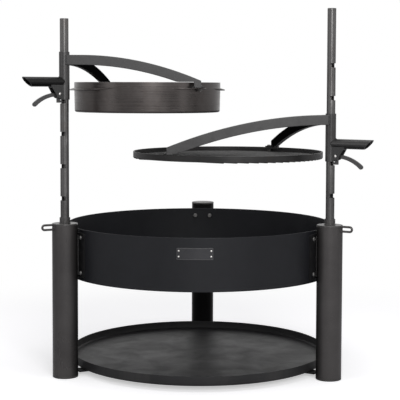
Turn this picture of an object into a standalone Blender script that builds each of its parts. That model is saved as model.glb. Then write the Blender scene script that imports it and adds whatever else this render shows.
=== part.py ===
"""Fire bowl on three legs, with a frying pan and a grill grate on two swinging posts.

Metres, +Z up. The origin lies on the ground, in the middle of the object's footprint.
"""
import math

import bmesh
import bpy
from mathutils import Matrix, Vector

# Gaps and steps
FIT = 0.0003  # gap kept between two meshes that touch on the real object
PLAY = 0.0005  # radial play of a post in its socket and of a sleeve on its post
PIN_PLAY = 0.0003  # radial play on the latch pin and round the bolts
BIG_STEPS = 48  # facets of the bowl, the tray, the pan and the grate
TUBE_STEPS = 32  # facets of the legs
SMALL_STEPS = 20  # facets of the posts, sleeves and handles
BOLT_STEPS = 8  # facets of bolts and pins

# Bowl
BOWL_RADIUS = 0.400
BOWL_WALL = 0.003
BOWL_RIM_DROP = 0.018  # from the legs' tops to the rim
BOWL_HEIGHT = 0.150
BOWL_FLOOR_THICKNESS = 0.003
BOWL_FLOOR_INSET = 0.017  # top of the floor's edge above the wall's lower edge
BOWL_DISH = 0.012  # how far the floor's middle lies below its edge
DISH_RINGS = 3

# Legs
LEG_RADIUS = 0.037
LEG_WALL = 0.003
LEG_HEIGHT = 0.448
LEG_ANGLES = {"front_left": -60.0, "front_right": 60.0, "back": 180.0}  # from the front
LEG_CAP = 0.004
FOOT_THICKNESS = 0.006
FOOT_SPIGOT = 0.014
EDGE_BREAK = 0.0015  # small chamfer on turned edges

# Brackets between the legs and the bowl
BRACKET_THICKNESS = 0.003
BRACKET_SIDE = 0.021  # from the bolts' middles to the bracket's side edges
BRACKET_MARGIN = 0.010  # from the bracket's ends to the wall's edges
BRACKET_STEPS = 6
BOWL_BOLT_OFFSET = 0.025  # sideways from the leg's middle
BOWL_BOLT_INSET = 0.014  # from the bracket's ends

# Bolts, each with its nut on
BOLT_RADIUS = 0.0040
BOLT_HEAD_RADIUS = 0.0065
BOLT_HEAD_HEIGHT = 0.0040
NUT_RADIUS = 0.0068
NUT_HEIGHT = 0.0050
BOLT_END = 0.0020  # thread showing past the nut

# Bare plate on the bowl's front
PLATE_WIDTH = 0.101
PLATE_HEIGHT = 0.033
PLATE_THICKNESS = 0.0015
PLATE_DROP = 0.0275  # from the rim to the plate's upper edge
PLATE_STEPS = 4

# Log tray
TRAY_LEG_GAP = 0.0136  # from the tray's rim to the legs
TRAY_HEIGHT = 0.028
TRAY_WALL = 0.003
TRAY_BASE_Z = 0.016
TRAY_FILLET = 0.008
TAB_LENGTH = 0.055
TAB_WIDTH = 0.036
TAB_THICKNESS = 0.005

# Posts and their sockets. Heights on a post are from the legs' tops.
POST_RADIUS = 0.0125
POST_WALL = 0.0025
POST_TOP_WALL = 0.004
SOCKET_WALL = 0.0022
SOCKET_DEPTH = 0.160
SOCKET_FLOOR = 0.004
COLLAR_HEIGHT = 0.017
NOTCH_PITCH = 0.093
NOTCH_COUNT = 5
NOTCH_HEIGHT = 0.012
NOTCH_DEPTH = 0.0035

# Eyes for hanging tools
EYE_ROD_RADIUS = 0.00325
EYE_REACH = 0.0355  # from the leg's surface
EYE_RISE = 0.0135  # between the two runs of the rod
EYE_DROP = 0.0035  # from the leg's top to the upper run
EYE_BEND_STEPS = 8

# Sleeve that slides on a post
SLEEVE_LENGTH = 0.137
SLEEVE_WALL = 0.002
NOSE_DROP = 0.005  # from the sleeve's lower end to the middle of the pawl's nose

# Arms from the sleeve to the pan or the grate
ARM_HEIGHT = 0.0285
ARM_THICKNESS = 0.014
ARM_ROOT_OFFSET = 0.010  # sideways from the post's axis to the middle of an arm's root
ARM_STEPS = 14
ARM_TAIL = 0.022  # past the middle of the foot
FOOT_PLATE_HALF_WIDTH = 0.008
FOOT_PLATE_THICKNESS = 0.004
FOOT_PLATE_BACK = 0.010
FOOT_PLATE_FRONT = 0.034
FOOT_BOLT_OFFSET = 0.0245

# Handle
HANDLE_RADIUS = 0.014
HANDLE_WALL = 0.003
HANDLE_REACH = 0.136  # from the post's axis to the tip's upper edge
HANDLE_UP = 0.051  # from the sleeve's lower end to the handle's axis

# Latch: a folded bracket, a lever with a pawl, a pin and a spring
LATCH_OUTER_HALF = 0.012
LATCH_INNER_HALF = 0.009
LATCH_TOP_PLATE = 0.003
LATCH_TOP_OUT = 0.035  # out from the sleeve, as the next four
LATCH_WAIST_OUT = 0.021
LATCH_FOOT_OUT = 0.012
LATCH_LOW_OUT = 0.001
PAWL_OUT = 0.0013
LATCH_WAIST_UP = 0.019  # up from the sleeve's lower end, as the next three
LATCH_FOOT_UP = 0.006
LATCH_LOW_UP = 0.0015
PIVOT_UP = 0.016
PIN_RADIUS = 0.0025
PIN_HEAD_RADIUS = 0.0042
PIN_HEAD_HEIGHT = 0.0016
BARREL_RADIUS = 0.0052
BARREL_GAP = 0.0011  # from the sleeve to the barrel
BARREL_SIDE_GAP = 0.0006
SPRING_ROOM = 0.0055  # along the pin, beside the barrel
LEVER_HALF_WIDTH = 0.0035
LEVER_THICKNESS = 0.0095
LEVER_TIP_THICKNESS = 0.0080
LEVER_LENGTH = 0.084  # from the pin to the middle of the tip's round end
LEVER_BEND_RADIUS = 0.125
LEVER_STEPS = 10
PAWL_BACK = 0.0035  # from the pin's axis to the pawl's outer edge
PAWL_GAP = 0.0004  # from the nose to the post, so that the sleeve can slide with the lever at rest
NOSE_HEIGHT = 0.0070
SPRING_WIRE_RADIUS = 0.0006
SPRING_TURNS = 3
SPRING_RADIUS = 0.0041
SPRING_PITCH = 0.0012
SPRING_LEG = 0.010
SPRING_POINTS = 8

# Pan
PAN_RADIUS = 0.220
PAN_DRAFT = 0.0015  # how much narrower the pan is at its base
PAN_HEIGHT = 0.089
PAN_WALL = 0.003
PAN_FILLET = 0.004
PAN_RIM_UP = 0.051  # from the sleeve's lower end to the pan's rim
FLANGE_WIDTH = 0.0165
FLANGE_THICKNESS = 0.003
FLANGE_DROP = 0.0165  # from the rim to the flange's top
RIM_CLEARANCE = 0.0010  # between the pan's rim and the arm above it
CROSSING_ROOM = 0.0060  # along the arm, from the pan's wall to the arm's end leg

# Grate
GRATE_RADIUS = 0.287
GRATE_RING_HEIGHT = 0.018
GRATE_RING_THICKNESS = 0.004
GRATE_TOP_UP = 0.018  # from the sleeve's lower end to the ring's top
ROD_RADIUS = 0.004
ROD_PITCH = 0.022
ROD_MARGIN = 0.030  # least room between the ring and the outermost rod's axis
ROD_SHOW = 0.001  # how far the rods show below the ring
ROD_STEPS = 6
LUG_THICKNESS = 0.005
LUG_BACK = 0.012
LUG_FRONT = 0.036
LUG_INSIDE = 0.010  # from the foot bolt's line towards the grate's middle
GRATE_FOOT_INSET = 0.011  # from the ring's inner face to the foot bolt's line

# How each side is built and set in the photograph. arm_angle is in degrees from the line of the posts,
# arm_drop is from the sleeve's top to the arm's upper edge, arm_straight is how far the arm runs level.
SIDES = {
    "left": {"leg": "front_left", "arm_angle": 39.4, "post_rise": 0.588, "first_notch": 0.072, "caught": 3,
             "arm_drop": 0.009, "arm_straight": 0.045},
    "right": {"leg": "front_right", "arm_angle": 180.0 - 33.95, "post_rise": 0.618, "first_notch": 0.084, "caught": 1,
              "arm_drop": 0.004, "arm_straight": 0.002},
}
PAN_GAP = 0.0400  # from the sleeve to the pan's flange
GRATE_GAP = 0.0526



def bore_radius(radius, gap, steps):
    """Return the radius of a faceted bore whose flats keep a gap to a round of this radius."""
    return (radius + gap) / math.cos(math.pi / steps)


# Places that follow from the sizes above
BOWL_INNER = BOWL_RADIUS - BOWL_WALL
BOWL_RIM_Z = LEG_HEIGHT - BOWL_RIM_DROP
BOWL_BASE_Z = BOWL_RIM_Z - BOWL_HEIGHT
BRACKET_HALF_WIDTH = BOWL_BOLT_OFFSET + BRACKET_SIDE
LEG_CIRCLE = BOWL_RADIUS + BRACKET_THICKNESS + 2 * FIT + LEG_RADIUS
TRAY_RADIUS = LEG_CIRCLE - LEG_RADIUS - TRAY_LEG_GAP
SLEEVE_BORE = bore_radius(POST_RADIUS, PLAY, SMALL_STEPS)
SLEEVE_RADIUS = SLEEVE_BORE + SLEEVE_WALL
SOCKET_BORE = bore_radius(POST_RADIUS, PLAY, SMALL_STEPS)
SOCKET_RADIUS = SOCKET_BORE + SOCKET_WALL
COLLAR_Z = LEG_HEIGHT + COLLAR_HEIGHT
SOCKET_BASE_Z = LEG_HEIGHT - SOCKET_DEPTH
POST_BASE_Z = SOCKET_BASE_Z + SOCKET_FLOOR + FIT
BOLT_HOLE = bore_radius(BOLT_RADIUS, PIN_PLAY, BOLT_STEPS)
PIN_HOLE = bore_radius(PIN_RADIUS, PIN_PLAY, BOLT_STEPS)
SLEEVE_ROOM = bore_radius(SLEEVE_RADIUS, FIT, SMALL_STEPS)
PAWL_FRONT = SLEEVE_RADIUS + PAWL_OUT
PIVOT_REACH = SLEEVE_RADIUS + BARREL_GAP + BARREL_RADIUS
PAN_BASE_RADIUS = PAN_RADIUS - PAN_DRAFT
FLANGE_RADIUS = PAN_RADIUS + FLANGE_WIDTH
PAN_REACH = SLEEVE_RADIUS + PAN_GAP + FLANGE_RADIUS
GRATE_REACH = SLEEVE_RADIUS + GRATE_GAP + GRATE_RADIUS
ROD_HALF_COUNT = int((GRATE_RADIUS - GRATE_RING_THICKNESS - ROD_MARGIN) / ROD_PITCH)
PAN_FOOT_RADIUS = (PAN_RADIUS + FLANGE_RADIUS) / 2
GRATE_FOOT_RADIUS = GRATE_RADIUS - GRATE_RING_THICKNESS - GRATE_FOOT_INSET
CUT_PAST = 0.004  # how far a cutter runs past what it cuts


def clear_scene():
    """Remove what the start-up scene holds."""
    for item in list(bpy.data.objects):
        bpy.data.objects.remove(item, do_unlink=True)


def new_collection(name):
    """Return a new collection of the scene."""
    group = bpy.data.collections.new(name)
    bpy.context.scene.collection.children.link(group)
    return group


def paint(name, color, roughness, metallic):
    """Return a Principled material."""
    material = bpy.data.materials.new(name)
    material.use_nodes = True
    shader = material.node_tree.nodes["Principled BSDF"]
    shader.inputs["Base Color"].default_value = (*color, 1.0)
    shader.inputs["Roughness"].default_value = roughness
    shader.inputs["Metallic"].default_value = metallic
    material.diffuse_color = (*color, 1.0)
    return material


def place(name, data, parent, location=(0, 0, 0), turn=0.0, finish=None):
    """Link a new object under its parent, turned about +Z by degrees."""
    item = bpy.data.objects.new(name, data)
    item.parent = parent
    item.location = location
    item.rotation_euler = (0, 0, math.radians(turn))
    if finish is None:
        CUTTERS.objects.link(item)
        item.hide_render = True
        item.display_type = "WIRE"
    else:
        PARTS.objects.link(item)
        data.materials.append(finish)
    return item


def empty(name, parent, location=(0, 0, 0), turn=0.0):
    """Return an empty that carries other objects."""
    item = bpy.data.objects.new(name, None)
    PARTS.objects.link(item)
    item.parent = parent
    item.location = location
    item.rotation_euler = (0, 0, math.radians(turn))
    return item


def combine(target, other, operation):
    """Cut, join or intersect the target with another object."""
    modifier = target.modifiers.new(operation.lower(), "BOOLEAN")
    modifier.operation = operation
    modifier.solver = "EXACT"
    modifier.object = other


def turned(name, profile, steps, parent, finish=None, location=(0, 0, 0), turn=0.0, loop=False):
    """Turn a profile of (radius, height) about +Z; it runs down on its outer side."""
    edges = [(index, index + 1) for index in range(len(profile) - 1)]
    if loop:
        edges.append((len(profile) - 1, 0))
    mesh = bpy.data.meshes.new(name)
    mesh.from_pydata([(radius, 0, height) for radius, height in profile], edges, [])
    item = place(name, mesh, parent, location, turn, finish)
    screw = item.modifiers.new("turn", "SCREW")
    screw.steps = steps
    screw.render_steps = steps
    screw.use_merge_vertices = True
    screw.merge_threshold = 0.0001
    screw.use_smooth_shade = True
    return item


def arc_plate(name, radius, thickness, low, high, half_width, steps, parent, finish, angle):
    """Return a plate curved round the bowl's axis, with its middle at an angle from the front."""
    half_angle = half_width / radius
    mesh = bpy.data.meshes.new(name)
    mesh.from_pydata([(radius, 0, high), (radius, 0, low)], [(0, 1)], [])
    mesh.transform(Matrix.Rotation(-half_angle, 4, "Z"))
    item = place(name, mesh, parent, turn=angle - 90, finish=finish)
    screw = item.modifiers.new("turn", "SCREW")
    screw.angle = 2 * half_angle
    screw.steps = steps
    screw.render_steps = steps
    screw.use_merge_vertices = False
    solid = item.modifiers.new("thickness", "SOLIDIFY")
    solid.thickness = thickness
    solid.offset = 1.0
    return item


def flat_mesh(name, outline, thickness):
    """Return a mesh of an outline in X and Z, with its thickness centred on Y."""
    curve = bpy.data.curves.new(name, "CURVE")
    curve.dimensions = "2D"
    curve.fill_mode = "BOTH"
    curve.extrude = thickness / 2
    spline = curve.splines.new("POLY")
    spline.points.add(len(outline) - 1)
    for point, (x, z) in zip(spline.points, outline):
        point.co = (x, z, 0, 1)
    spline.use_cyclic_u = True
    guide = bpy.data.objects.new(name, curve)
    bpy.context.scene.collection.objects.link(guide)
    bpy.context.view_layer.update()
    evaluated = guide.evaluated_get(bpy.context.evaluated_depsgraph_get())
    mesh = bpy.data.meshes.new_from_object(evaluated)
    bpy.data.objects.remove(guide)
    bpy.data.curves.remove(curve)
    welded = bmesh.new()
    welded.from_mesh(mesh)
    bmesh.ops.remove_doubles(welded, verts=welded.verts, dist=0.00001)
    bmesh.ops.recalc_face_normals(welded, faces=welded.faces)
    welded.to_mesh(mesh)
    welded.free()
    mesh.transform(Matrix.Rotation(math.pi / 2, 4, "X"))
    return mesh


def box_mesh(name, low, high):
    """Return a box between two corners."""
    shape = bmesh.new()
    bmesh.ops.create_cube(shape, size=1.0)
    size = Vector(high) - Vector(low)
    middle = (Vector(high) + Vector(low)) / 2
    bmesh.ops.transform(shape, matrix=Matrix.Translation(middle) @ Matrix.Diagonal((*size, 1)), verts=shape.verts)
    mesh = bpy.data.meshes.new(name)
    shape.to_mesh(mesh)
    shape.free()
    return mesh


def rod_mesh(name, radius, start, end, steps):
    """Return a round rod between two points."""
    shape = bmesh.new()
    add_rod(shape, radius, start, end, steps)
    mesh = bpy.data.meshes.new(name)
    shape.to_mesh(mesh)
    shape.free()
    return mesh


def add_rod(shape, radius, start, end, steps):
    """Add a round rod between two points to a bmesh."""
    run = Vector(end) - Vector(start)
    matrix = Matrix.Translation((Vector(start) + Vector(end)) / 2) @ run.to_track_quat("Z", "Y").to_matrix().to_4x4()
    bmesh.ops.create_cone(shape, cap_ends=True, segments=steps, radius1=radius, radius2=radius,
                          depth=run.length, matrix=matrix)


def wire(name, points, radius, parent, finish, resolution=2):
    """Return a round wire through points."""
    curve = bpy.data.curves.new(name, "CURVE")
    curve.dimensions = "3D"
    curve.bevel_depth = radius
    curve.bevel_resolution = resolution
    curve.use_fill_caps = True
    spline = curve.splines.new("POLY")
    spline.points.add(len(points) - 1)
    for point, place_m in zip(spline.points, points):
        point.co = (*place_m, 1)
    return place(name, curve, parent, finish=finish)


def on_circle(radius, angle, height=0.0):
    """Return a point at an angle from the front, positive to the right."""
    turn = math.radians(angle)
    return Vector((radius * math.sin(turn), -radius * math.cos(turn), height))


def bolt_profile(grip):
    """Return the profile of a bolt with its nut, with the head's seat at height 0 and the grip below."""
    return [
        (0, BOLT_HEAD_HEIGHT),
        (0.5 * BOLT_HEAD_RADIUS, 0.92 * BOLT_HEAD_HEIGHT),
        (0.85 * BOLT_HEAD_RADIUS, 0.6 * BOLT_HEAD_HEIGHT),
        (BOLT_HEAD_RADIUS, FIT),
        (BOLT_RADIUS, FIT),
        (BOLT_RADIUS, -grip),
        (NUT_RADIUS, -grip),
        (NUT_RADIUS, -grip - NUT_HEIGHT),
        (BOLT_RADIUS, -grip - NUT_HEIGHT),
        (BOLT_RADIUS, -grip - NUT_HEIGHT - BOLT_END),
        (0, -grip - NUT_HEIGHT - BOLT_END),
    ]


def footprint_middle():
    """Return the middle of the object's footprint, from the bowl's axis."""
    tip = HANDLE_REACH - HANDLE_RADIUS
    ends = {}
    for name, side in SIDES.items():
        post = on_circle(LEG_CIRCLE, LEG_ANGLES[side["leg"]])
        ends[name] = post.x - tip * math.cos(math.radians(side["arm_angle"]))
    middle_x = (ends["left"] - HANDLE_RADIUS + ends["right"] + HANDLE_RADIUS) / 2
    front = BOWL_RADIUS + FIT + PLATE_THICKNESS
    back = LEG_CIRCLE + LEG_RADIUS
    return Vector((middle_x, (back - front) / 2, 0))


def make_bowl(root):
    """Make the bowl's wall, its floor and the bare plate on its front."""
    wall = turned("bowl_wall", [
        (BOWL_RADIUS - BOWL_WALL / 4, BOWL_RIM_Z),
        (BOWL_RADIUS, BOWL_RIM_Z - BOWL_WALL / 4),
        (BOWL_RADIUS, BOWL_BASE_Z),
        (BOWL_INNER, BOWL_BASE_Z),
        (BOWL_INNER, BOWL_RIM_Z - BOWL_WALL / 4),
        (BOWL_INNER + BOWL_WALL / 4, BOWL_RIM_Z),
    ], BIG_STEPS, root, FINISH["bowl"], loop=True)
    edge_z = BOWL_BASE_Z + BOWL_FLOOR_INSET
    edge = BOWL_INNER - FIT
    rings = [edge * step / DISH_RINGS for step in range(DISH_RINGS + 1)]
    top = [(radius, edge_z - BOWL_DISH * (1 - (radius / edge) ** 2)) for radius in rings]
    bottom = [(radius, height - BOWL_FLOOR_THICKNESS) for radius, height in reversed(top)]
    turned("bowl_floor", top + bottom, BIG_STEPS, root, FINISH["bowl_floor"])
    plate_top = BOWL_RIM_Z - PLATE_DROP
    arc_plate("front_plate", BOWL_RADIUS + FIT, PLATE_THICKNESS, plate_top - PLATE_HEIGHT, plate_top,
              PLATE_WIDTH / 2, PLATE_STEPS, root, FINISH["plate"], 0.0)
    return wall


def make_leg(root, name, angle, has_post):
    """Make one leg's tube, its cap and its foot."""
    middle = on_circle(LEG_CIRCLE, angle)
    top = LEG_HEIGHT - LEG_CAP
    inner = LEG_RADIUS - LEG_WALL
    turned("leg_tube_" + name, [
        (LEG_RADIUS, top - FIT),
        (LEG_RADIUS, FOOT_THICKNESS + FIT),
        (inner, FOOT_THICKNESS + FIT),
        (inner, top - FIT),
    ], TUBE_STEPS, root, FINISH["leg"], middle, loop=True)
    rim = [(LEG_RADIUS - EDGE_BREAK, LEG_HEIGHT), (LEG_RADIUS, LEG_HEIGHT - EDGE_BREAK), (LEG_RADIUS, top)]
    if has_post:
        hole = bore_radius(SOCKET_RADIUS, FIT, TUBE_STEPS)
        profile = rim + [(hole, top), (hole, LEG_HEIGHT)]
    else:
        profile = [(0, LEG_HEIGHT)] + rim + [(0, top)]
    turned("leg_cap_" + name, profile, TUBE_STEPS, root, FINISH["cap"], middle, loop=has_post)
    turned("foot_" + name, [
        (0, FOOT_THICKNESS + FOOT_SPIGOT),
        (inner - FIT, FOOT_THICKNESS + FOOT_SPIGOT),
        (inner - FIT, FOOT_THICKNESS),
        (LEG_RADIUS, FOOT_THICKNESS),
        (LEG_RADIUS, EDGE_BREAK),
        (LEG_RADIUS - EDGE_BREAK, 0),
        (0, 0),
    ], TUBE_STEPS, root, FINISH["foot"], middle)


def make_bracket(root, wall, name, angle):
    """Make the plate that joins a leg to the bowl, and its four bolts."""
    low = BOWL_BASE_Z + BRACKET_MARGIN
    high = BOWL_RIM_Z - BRACKET_MARGIN
    bracket = arc_plate("bowl_bracket_" + name, BOWL_RADIUS + FIT, BRACKET_THICKNESS, low, high,
                        BRACKET_HALF_WIDTH, BRACKET_STEPS, root, FINISH["bracket"], angle)
    seat = BOWL_RADIUS + FIT + BRACKET_THICKNESS
    step = math.degrees(BOWL_BOLT_OFFSET / seat)
    grip = seat - BOWL_INNER * math.cos(math.pi / BIG_STEPS) + FIT
    for level, height in (("upper", high - BOWL_BOLT_INSET), ("lower", low + BOWL_BOLT_INSET)):
        for hand, sign in (("a", -1), ("b", 1)):
            bolt_angle = angle + sign * step
            outwards = on_circle(1.0, bolt_angle)
            drill = place("drill", rod_mesh("drill", BOLT_HOLE, outwards * (BOWL_INNER - CUT_PAST),
                                            outwards * (seat + CUT_PAST), BOLT_STEPS), root, (0, 0, height))
            combine(wall, drill, "DIFFERENCE")
            combine(bracket, drill, "DIFFERENCE")
            bolt = turned(f"bowl_bolt_{name}_{level}_{hand}", bolt_profile(grip), BOLT_STEPS, root,
                          FINISH["bolt"], outwards * seat + Vector((0, 0, height)))
            bolt.rotation_euler = outwards.to_track_quat("Z", "Y").to_euler()


def make_tray(root):
    """Make the log tray and the tabs on the legs that carry it."""
    top = TRAY_BASE_Z + TRAY_HEIGHT
    inner = TRAY_RADIUS - TRAY_WALL
    floor = TRAY_BASE_Z + TRAY_WALL
    turned("log_tray", [
        (0, floor),
        (inner - TRAY_FILLET, floor),
        (inner, floor + TRAY_FILLET),
        (inner, top),
        (TRAY_RADIUS, top),
        (TRAY_RADIUS, TRAY_BASE_Z + TRAY_FILLET),
        (TRAY_RADIUS - 0.3 * TRAY_FILLET, TRAY_BASE_Z + 0.3 * TRAY_FILLET),
        (TRAY_RADIUS - TRAY_FILLET, TRAY_BASE_Z),
        (0, TRAY_BASE_Z),
    ], BIG_STEPS, root, FINISH["tray"])
    outer = LEG_CIRCLE - LEG_RADIUS - FIT
    tab_top = TRAY_BASE_Z - FIT
    for name, angle in LEG_ANGLES.items():
        mesh = box_mesh("tab", (outer - TAB_LENGTH, -TAB_WIDTH / 2, tab_top - TAB_THICKNESS),
                        (outer, TAB_WIDTH / 2, tab_top))
        place("tray_tab_" + name, mesh, root, turn=angle - 90, finish=FINISH["bracket"])


def make_socket(root, name, angle):
    """Make the socket that a post turns in, and the eye for tools on the same leg."""
    turned("post_socket_" + name, [
        (0, SOCKET_BASE_Z + SOCKET_FLOOR),
        (SOCKET_BORE, SOCKET_BASE_Z + SOCKET_FLOOR),
        (SOCKET_BORE, COLLAR_Z),
        (SOCKET_RADIUS - EDGE_BREAK / 2, COLLAR_Z),
        (SOCKET_RADIUS, COLLAR_Z - EDGE_BREAK / 2),
        (SOCKET_RADIUS, SOCKET_BASE_Z),
        (0, SOCKET_BASE_Z),
    ], SMALL_STEPS, root, FINISH["socket"], on_circle(LEG_CIRCLE, angle))
    bend = EYE_RISE / 2
    high = LEG_HEIGHT - EYE_DROP
    turn_at = LEG_RADIUS + EYE_REACH - EYE_ROD_RADIUS - bend
    points = [(LEG_RADIUS + FIT, 0, high)]
    for step in range(EYE_BEND_STEPS + 1):
        swing = math.pi * step / EYE_BEND_STEPS
        points.append((turn_at + bend * math.sin(swing), 0, high - bend + bend * math.cos(swing)))
    points.append((LEG_RADIUS + FIT, 0, high - EYE_RISE))
    eye = wire("tool_eye_" + name, points, EYE_ROD_RADIUS, root, FINISH["leg"])
    eye.location = on_circle(LEG_CIRCLE, angle)
    eye.rotation_euler = (0, 0, math.radians(angle - 90))


def make_post(axis, name, side):
    """Make a post with its row of notches on the side away from the arm."""
    top = LEG_HEIGHT + side["post_rise"]
    bore = POST_RADIUS - POST_WALL
    post = turned(name + "_post", [
        (0, top),
        (POST_RADIUS - EDGE_BREAK, top),
        (POST_RADIUS, top - EDGE_BREAK),
        (POST_RADIUS, POST_BASE_Z),
        (bore, POST_BASE_Z),
        (bore, top - POST_TOP_WALL),
        (0, top - POST_TOP_WALL),
    ], SMALL_STEPS, axis, FINISH["post"])
    first = LEG_HEIGHT + side["first_notch"]
    mesh = box_mesh("notches", (-POST_RADIUS - CUT_PAST, -2 * POST_RADIUS, first - NOTCH_HEIGHT / 2),
                    (-POST_RADIUS + NOTCH_DEPTH, 2 * POST_RADIUS, first + NOTCH_HEIGHT / 2))
    notches = place("notches", mesh, axis)
    row = notches.modifiers.new("row", "ARRAY")
    row.count = NOTCH_COUNT
    row.use_relative_offset = False
    row.use_constant_offset = True
    row.constant_offset_displace = (0, 0, NOTCH_PITCH)
    combine(post, notches, "DIFFERENCE")


def sleeve_base(side):
    """Return the height of a sleeve's lower end, set by the notch that its pawl sits in."""
    return LEG_HEIGHT + side["first_notch"] + side["caught"] * NOTCH_PITCH + NOSE_DROP


def make_sleeve(axis, name, base):
    """Make the sleeve that slides on a post."""
    turned(name + "_sleeve", [
        (SLEEVE_RADIUS - EDGE_BREAK / 2, base + SLEEVE_LENGTH),
        (SLEEVE_RADIUS, base + SLEEVE_LENGTH - EDGE_BREAK / 2),
        (SLEEVE_RADIUS, base + EDGE_BREAK / 2),
        (SLEEVE_RADIUS - EDGE_BREAK / 2, base),
        (SLEEVE_BORE, base),
        (SLEEVE_BORE, base + SLEEVE_LENGTH),
    ], SMALL_STEPS, axis, FINISH["sleeve"], loop=True)


def arm_outline(straight, foot_at, middle_z, seat_z, leg_from, over_z):
    """Return an arm's side view in (distance from its root, height).

    The arm runs straight, then bends down on one arc to its foot at seat_z. Before leg_from it stays above over_z.
    """
    drop = middle_z - (seat_z + ARM_HEIGHT / 2)
    radius = (foot_at - straight) ** 2 / (2 * drop)
    tip = foot_at + ARM_TAIL
    top = []
    bottom = []
    for step in range(ARM_STEPS + 1):
        run = tip * step / ARM_STEPS
        bend = max(0.0, run - straight)
        middle = middle_z - bend ** 2 / (2 * radius)
        upright = ARM_HEIGHT / 2 * math.sqrt(1 + (bend / radius) ** 2)
        top.append((run, middle + upright))
        if run < leg_from:
            bottom.append((run, max(middle - upright, over_z)))
    bottom.append((leg_from, bottom[-1][1]))
    bottom.append((leg_from, seat_z))
    bottom.append((tip, seat_z))
    return bottom + list(reversed(top))


def make_arms(axis, name, side, base, reach, foot_radius, seat_z, wall_radius, rim_z):
    """Make the two arms with their feet. Their roots lean against the sleeve's sides."""
    across_run = foot_radius - ARM_ROOT_OFFSET
    length = math.hypot(reach, across_run)
    swing = math.atan2(across_run, reach)
    middle_z = base + SLEEVE_LENGTH - side["arm_drop"] - ARM_HEIGHT / 2
    seat = seat_z + FIT
    if wall_radius:
        along = reach * math.cos(swing) - ARM_ROOT_OFFSET * math.sin(swing)
        aside = reach * math.sin(swing) + ARM_ROOT_OFFSET * math.cos(swing) - ARM_THICKNESS / 2
        leg_from = along + math.sqrt(wall_radius ** 2 - aside ** 2) + CROSSING_ROOM
        over_z = rim_z + RIM_CLEARANCE
    else:
        leg_from = length - FOOT_PLATE_BACK
        over_z = seat
    outline = arm_outline(side["arm_straight"], length, middle_z, seat, leg_from, over_z)
    for hand, sign in (("near", 1 if name == "right" else -1), ("far", -1 if name == "right" else 1)):
        arm = place(f"{name}_arm_{hand}", flat_mesh("arm", outline, ARM_THICKNESS), axis,
                    (0, sign * ARM_ROOT_OFFSET, 0), sign * math.degrees(swing), FINISH["arm"])
        room = place("sleeve_room", rod_mesh("sleeve_room", SLEEVE_ROOM, (0, 0, middle_z - ARM_HEIGHT),
                                             (0, 0, middle_z + ARM_HEIGHT), SMALL_STEPS), axis)
        combine(arm, room, "DIFFERENCE")
        across = sign * foot_radius
        foot = place("arm_foot", box_mesh("arm_foot", (reach - FOOT_PLATE_BACK, across - FOOT_PLATE_HALF_WIDTH, seat),
                                          (reach + FOOT_PLATE_FRONT, across + FOOT_PLATE_HALF_WIDTH,
                                           seat + FOOT_PLATE_THICKNESS)), axis)
        combine(arm, foot, "UNION")
        bolt_x = reach + FOOT_BOLT_OFFSET
        drill = place("drill", rod_mesh("drill", BOLT_HOLE, (bolt_x, across, seat - CUT_PAST),
                                        (bolt_x, across, seat + 2 * CUT_PAST), BOLT_STEPS), axis)
        combine(arm, drill, "DIFFERENCE")


def make_foot_bolts(axis, name, reach, foot_radius, seat_z, held, held_thickness):
    """Drill what the arms hold and put a bolt through each foot."""
    bolt_x = reach + FOOT_BOLT_OFFSET
    head_z = seat_z + FIT + FOOT_PLATE_THICKNESS
    grip = FOOT_PLATE_THICKNESS + held_thickness + 2 * FIT
    for hand, sign in (("near", 1 if name == "right" else -1), ("far", -1 if name == "right" else 1)):
        across = sign * foot_radius
        drill = place("drill", rod_mesh("drill", BOLT_HOLE, (bolt_x, across, seat_z - held_thickness - CUT_PAST),
                                        (bolt_x, across, seat_z + CUT_PAST), BOLT_STEPS), axis)
        combine(held, drill, "DIFFERENCE")
        turned(f"{name}_foot_bolt_{hand}", bolt_profile(grip), BOLT_STEPS, axis, FINISH["bolt"],
               (bolt_x, across, head_z))


def make_handle(axis, name, base):
    """Make the handle, a tube with its tip cut at 45 degrees."""
    height = base + HANDLE_UP
    bore = HANDLE_RADIUS - HANDLE_WALL
    handle = turned(name + "_handle", [
        (HANDLE_RADIUS, HANDLE_REACH),
        (HANDLE_RADIUS, SLEEVE_RADIUS - HANDLE_WALL - CUT_PAST),
        (bore, SLEEVE_RADIUS - HANDLE_WALL - CUT_PAST),
        (bore, HANDLE_REACH),
    ], SMALL_STEPS, axis, FINISH["handle"], (0, 0, height), loop=True)
    handle.rotation_euler = (0, -math.pi / 2, 0)
    saddle = place("saddle", rod_mesh("saddle", SLEEVE_ROOM, (0, 0, height - 2 * HANDLE_RADIUS),
                                      (0, 0, height + 2 * HANDLE_RADIUS), SMALL_STEPS), axis)
    combine(handle, saddle, "DIFFERENCE")
    size = 4 * HANDLE_RADIUS
    mitre_mesh = box_mesh("mitre", (-size, -size, -size), (0, size, size))
    mitre_mesh.transform(Matrix.Rotation(math.radians(45), 4, "Y"))
    mitre = place("mitre", mitre_mesh, axis, (-HANDLE_REACH + HANDLE_RADIUS, 0, height))
    combine(handle, mitre, "DIFFERENCE")


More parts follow.
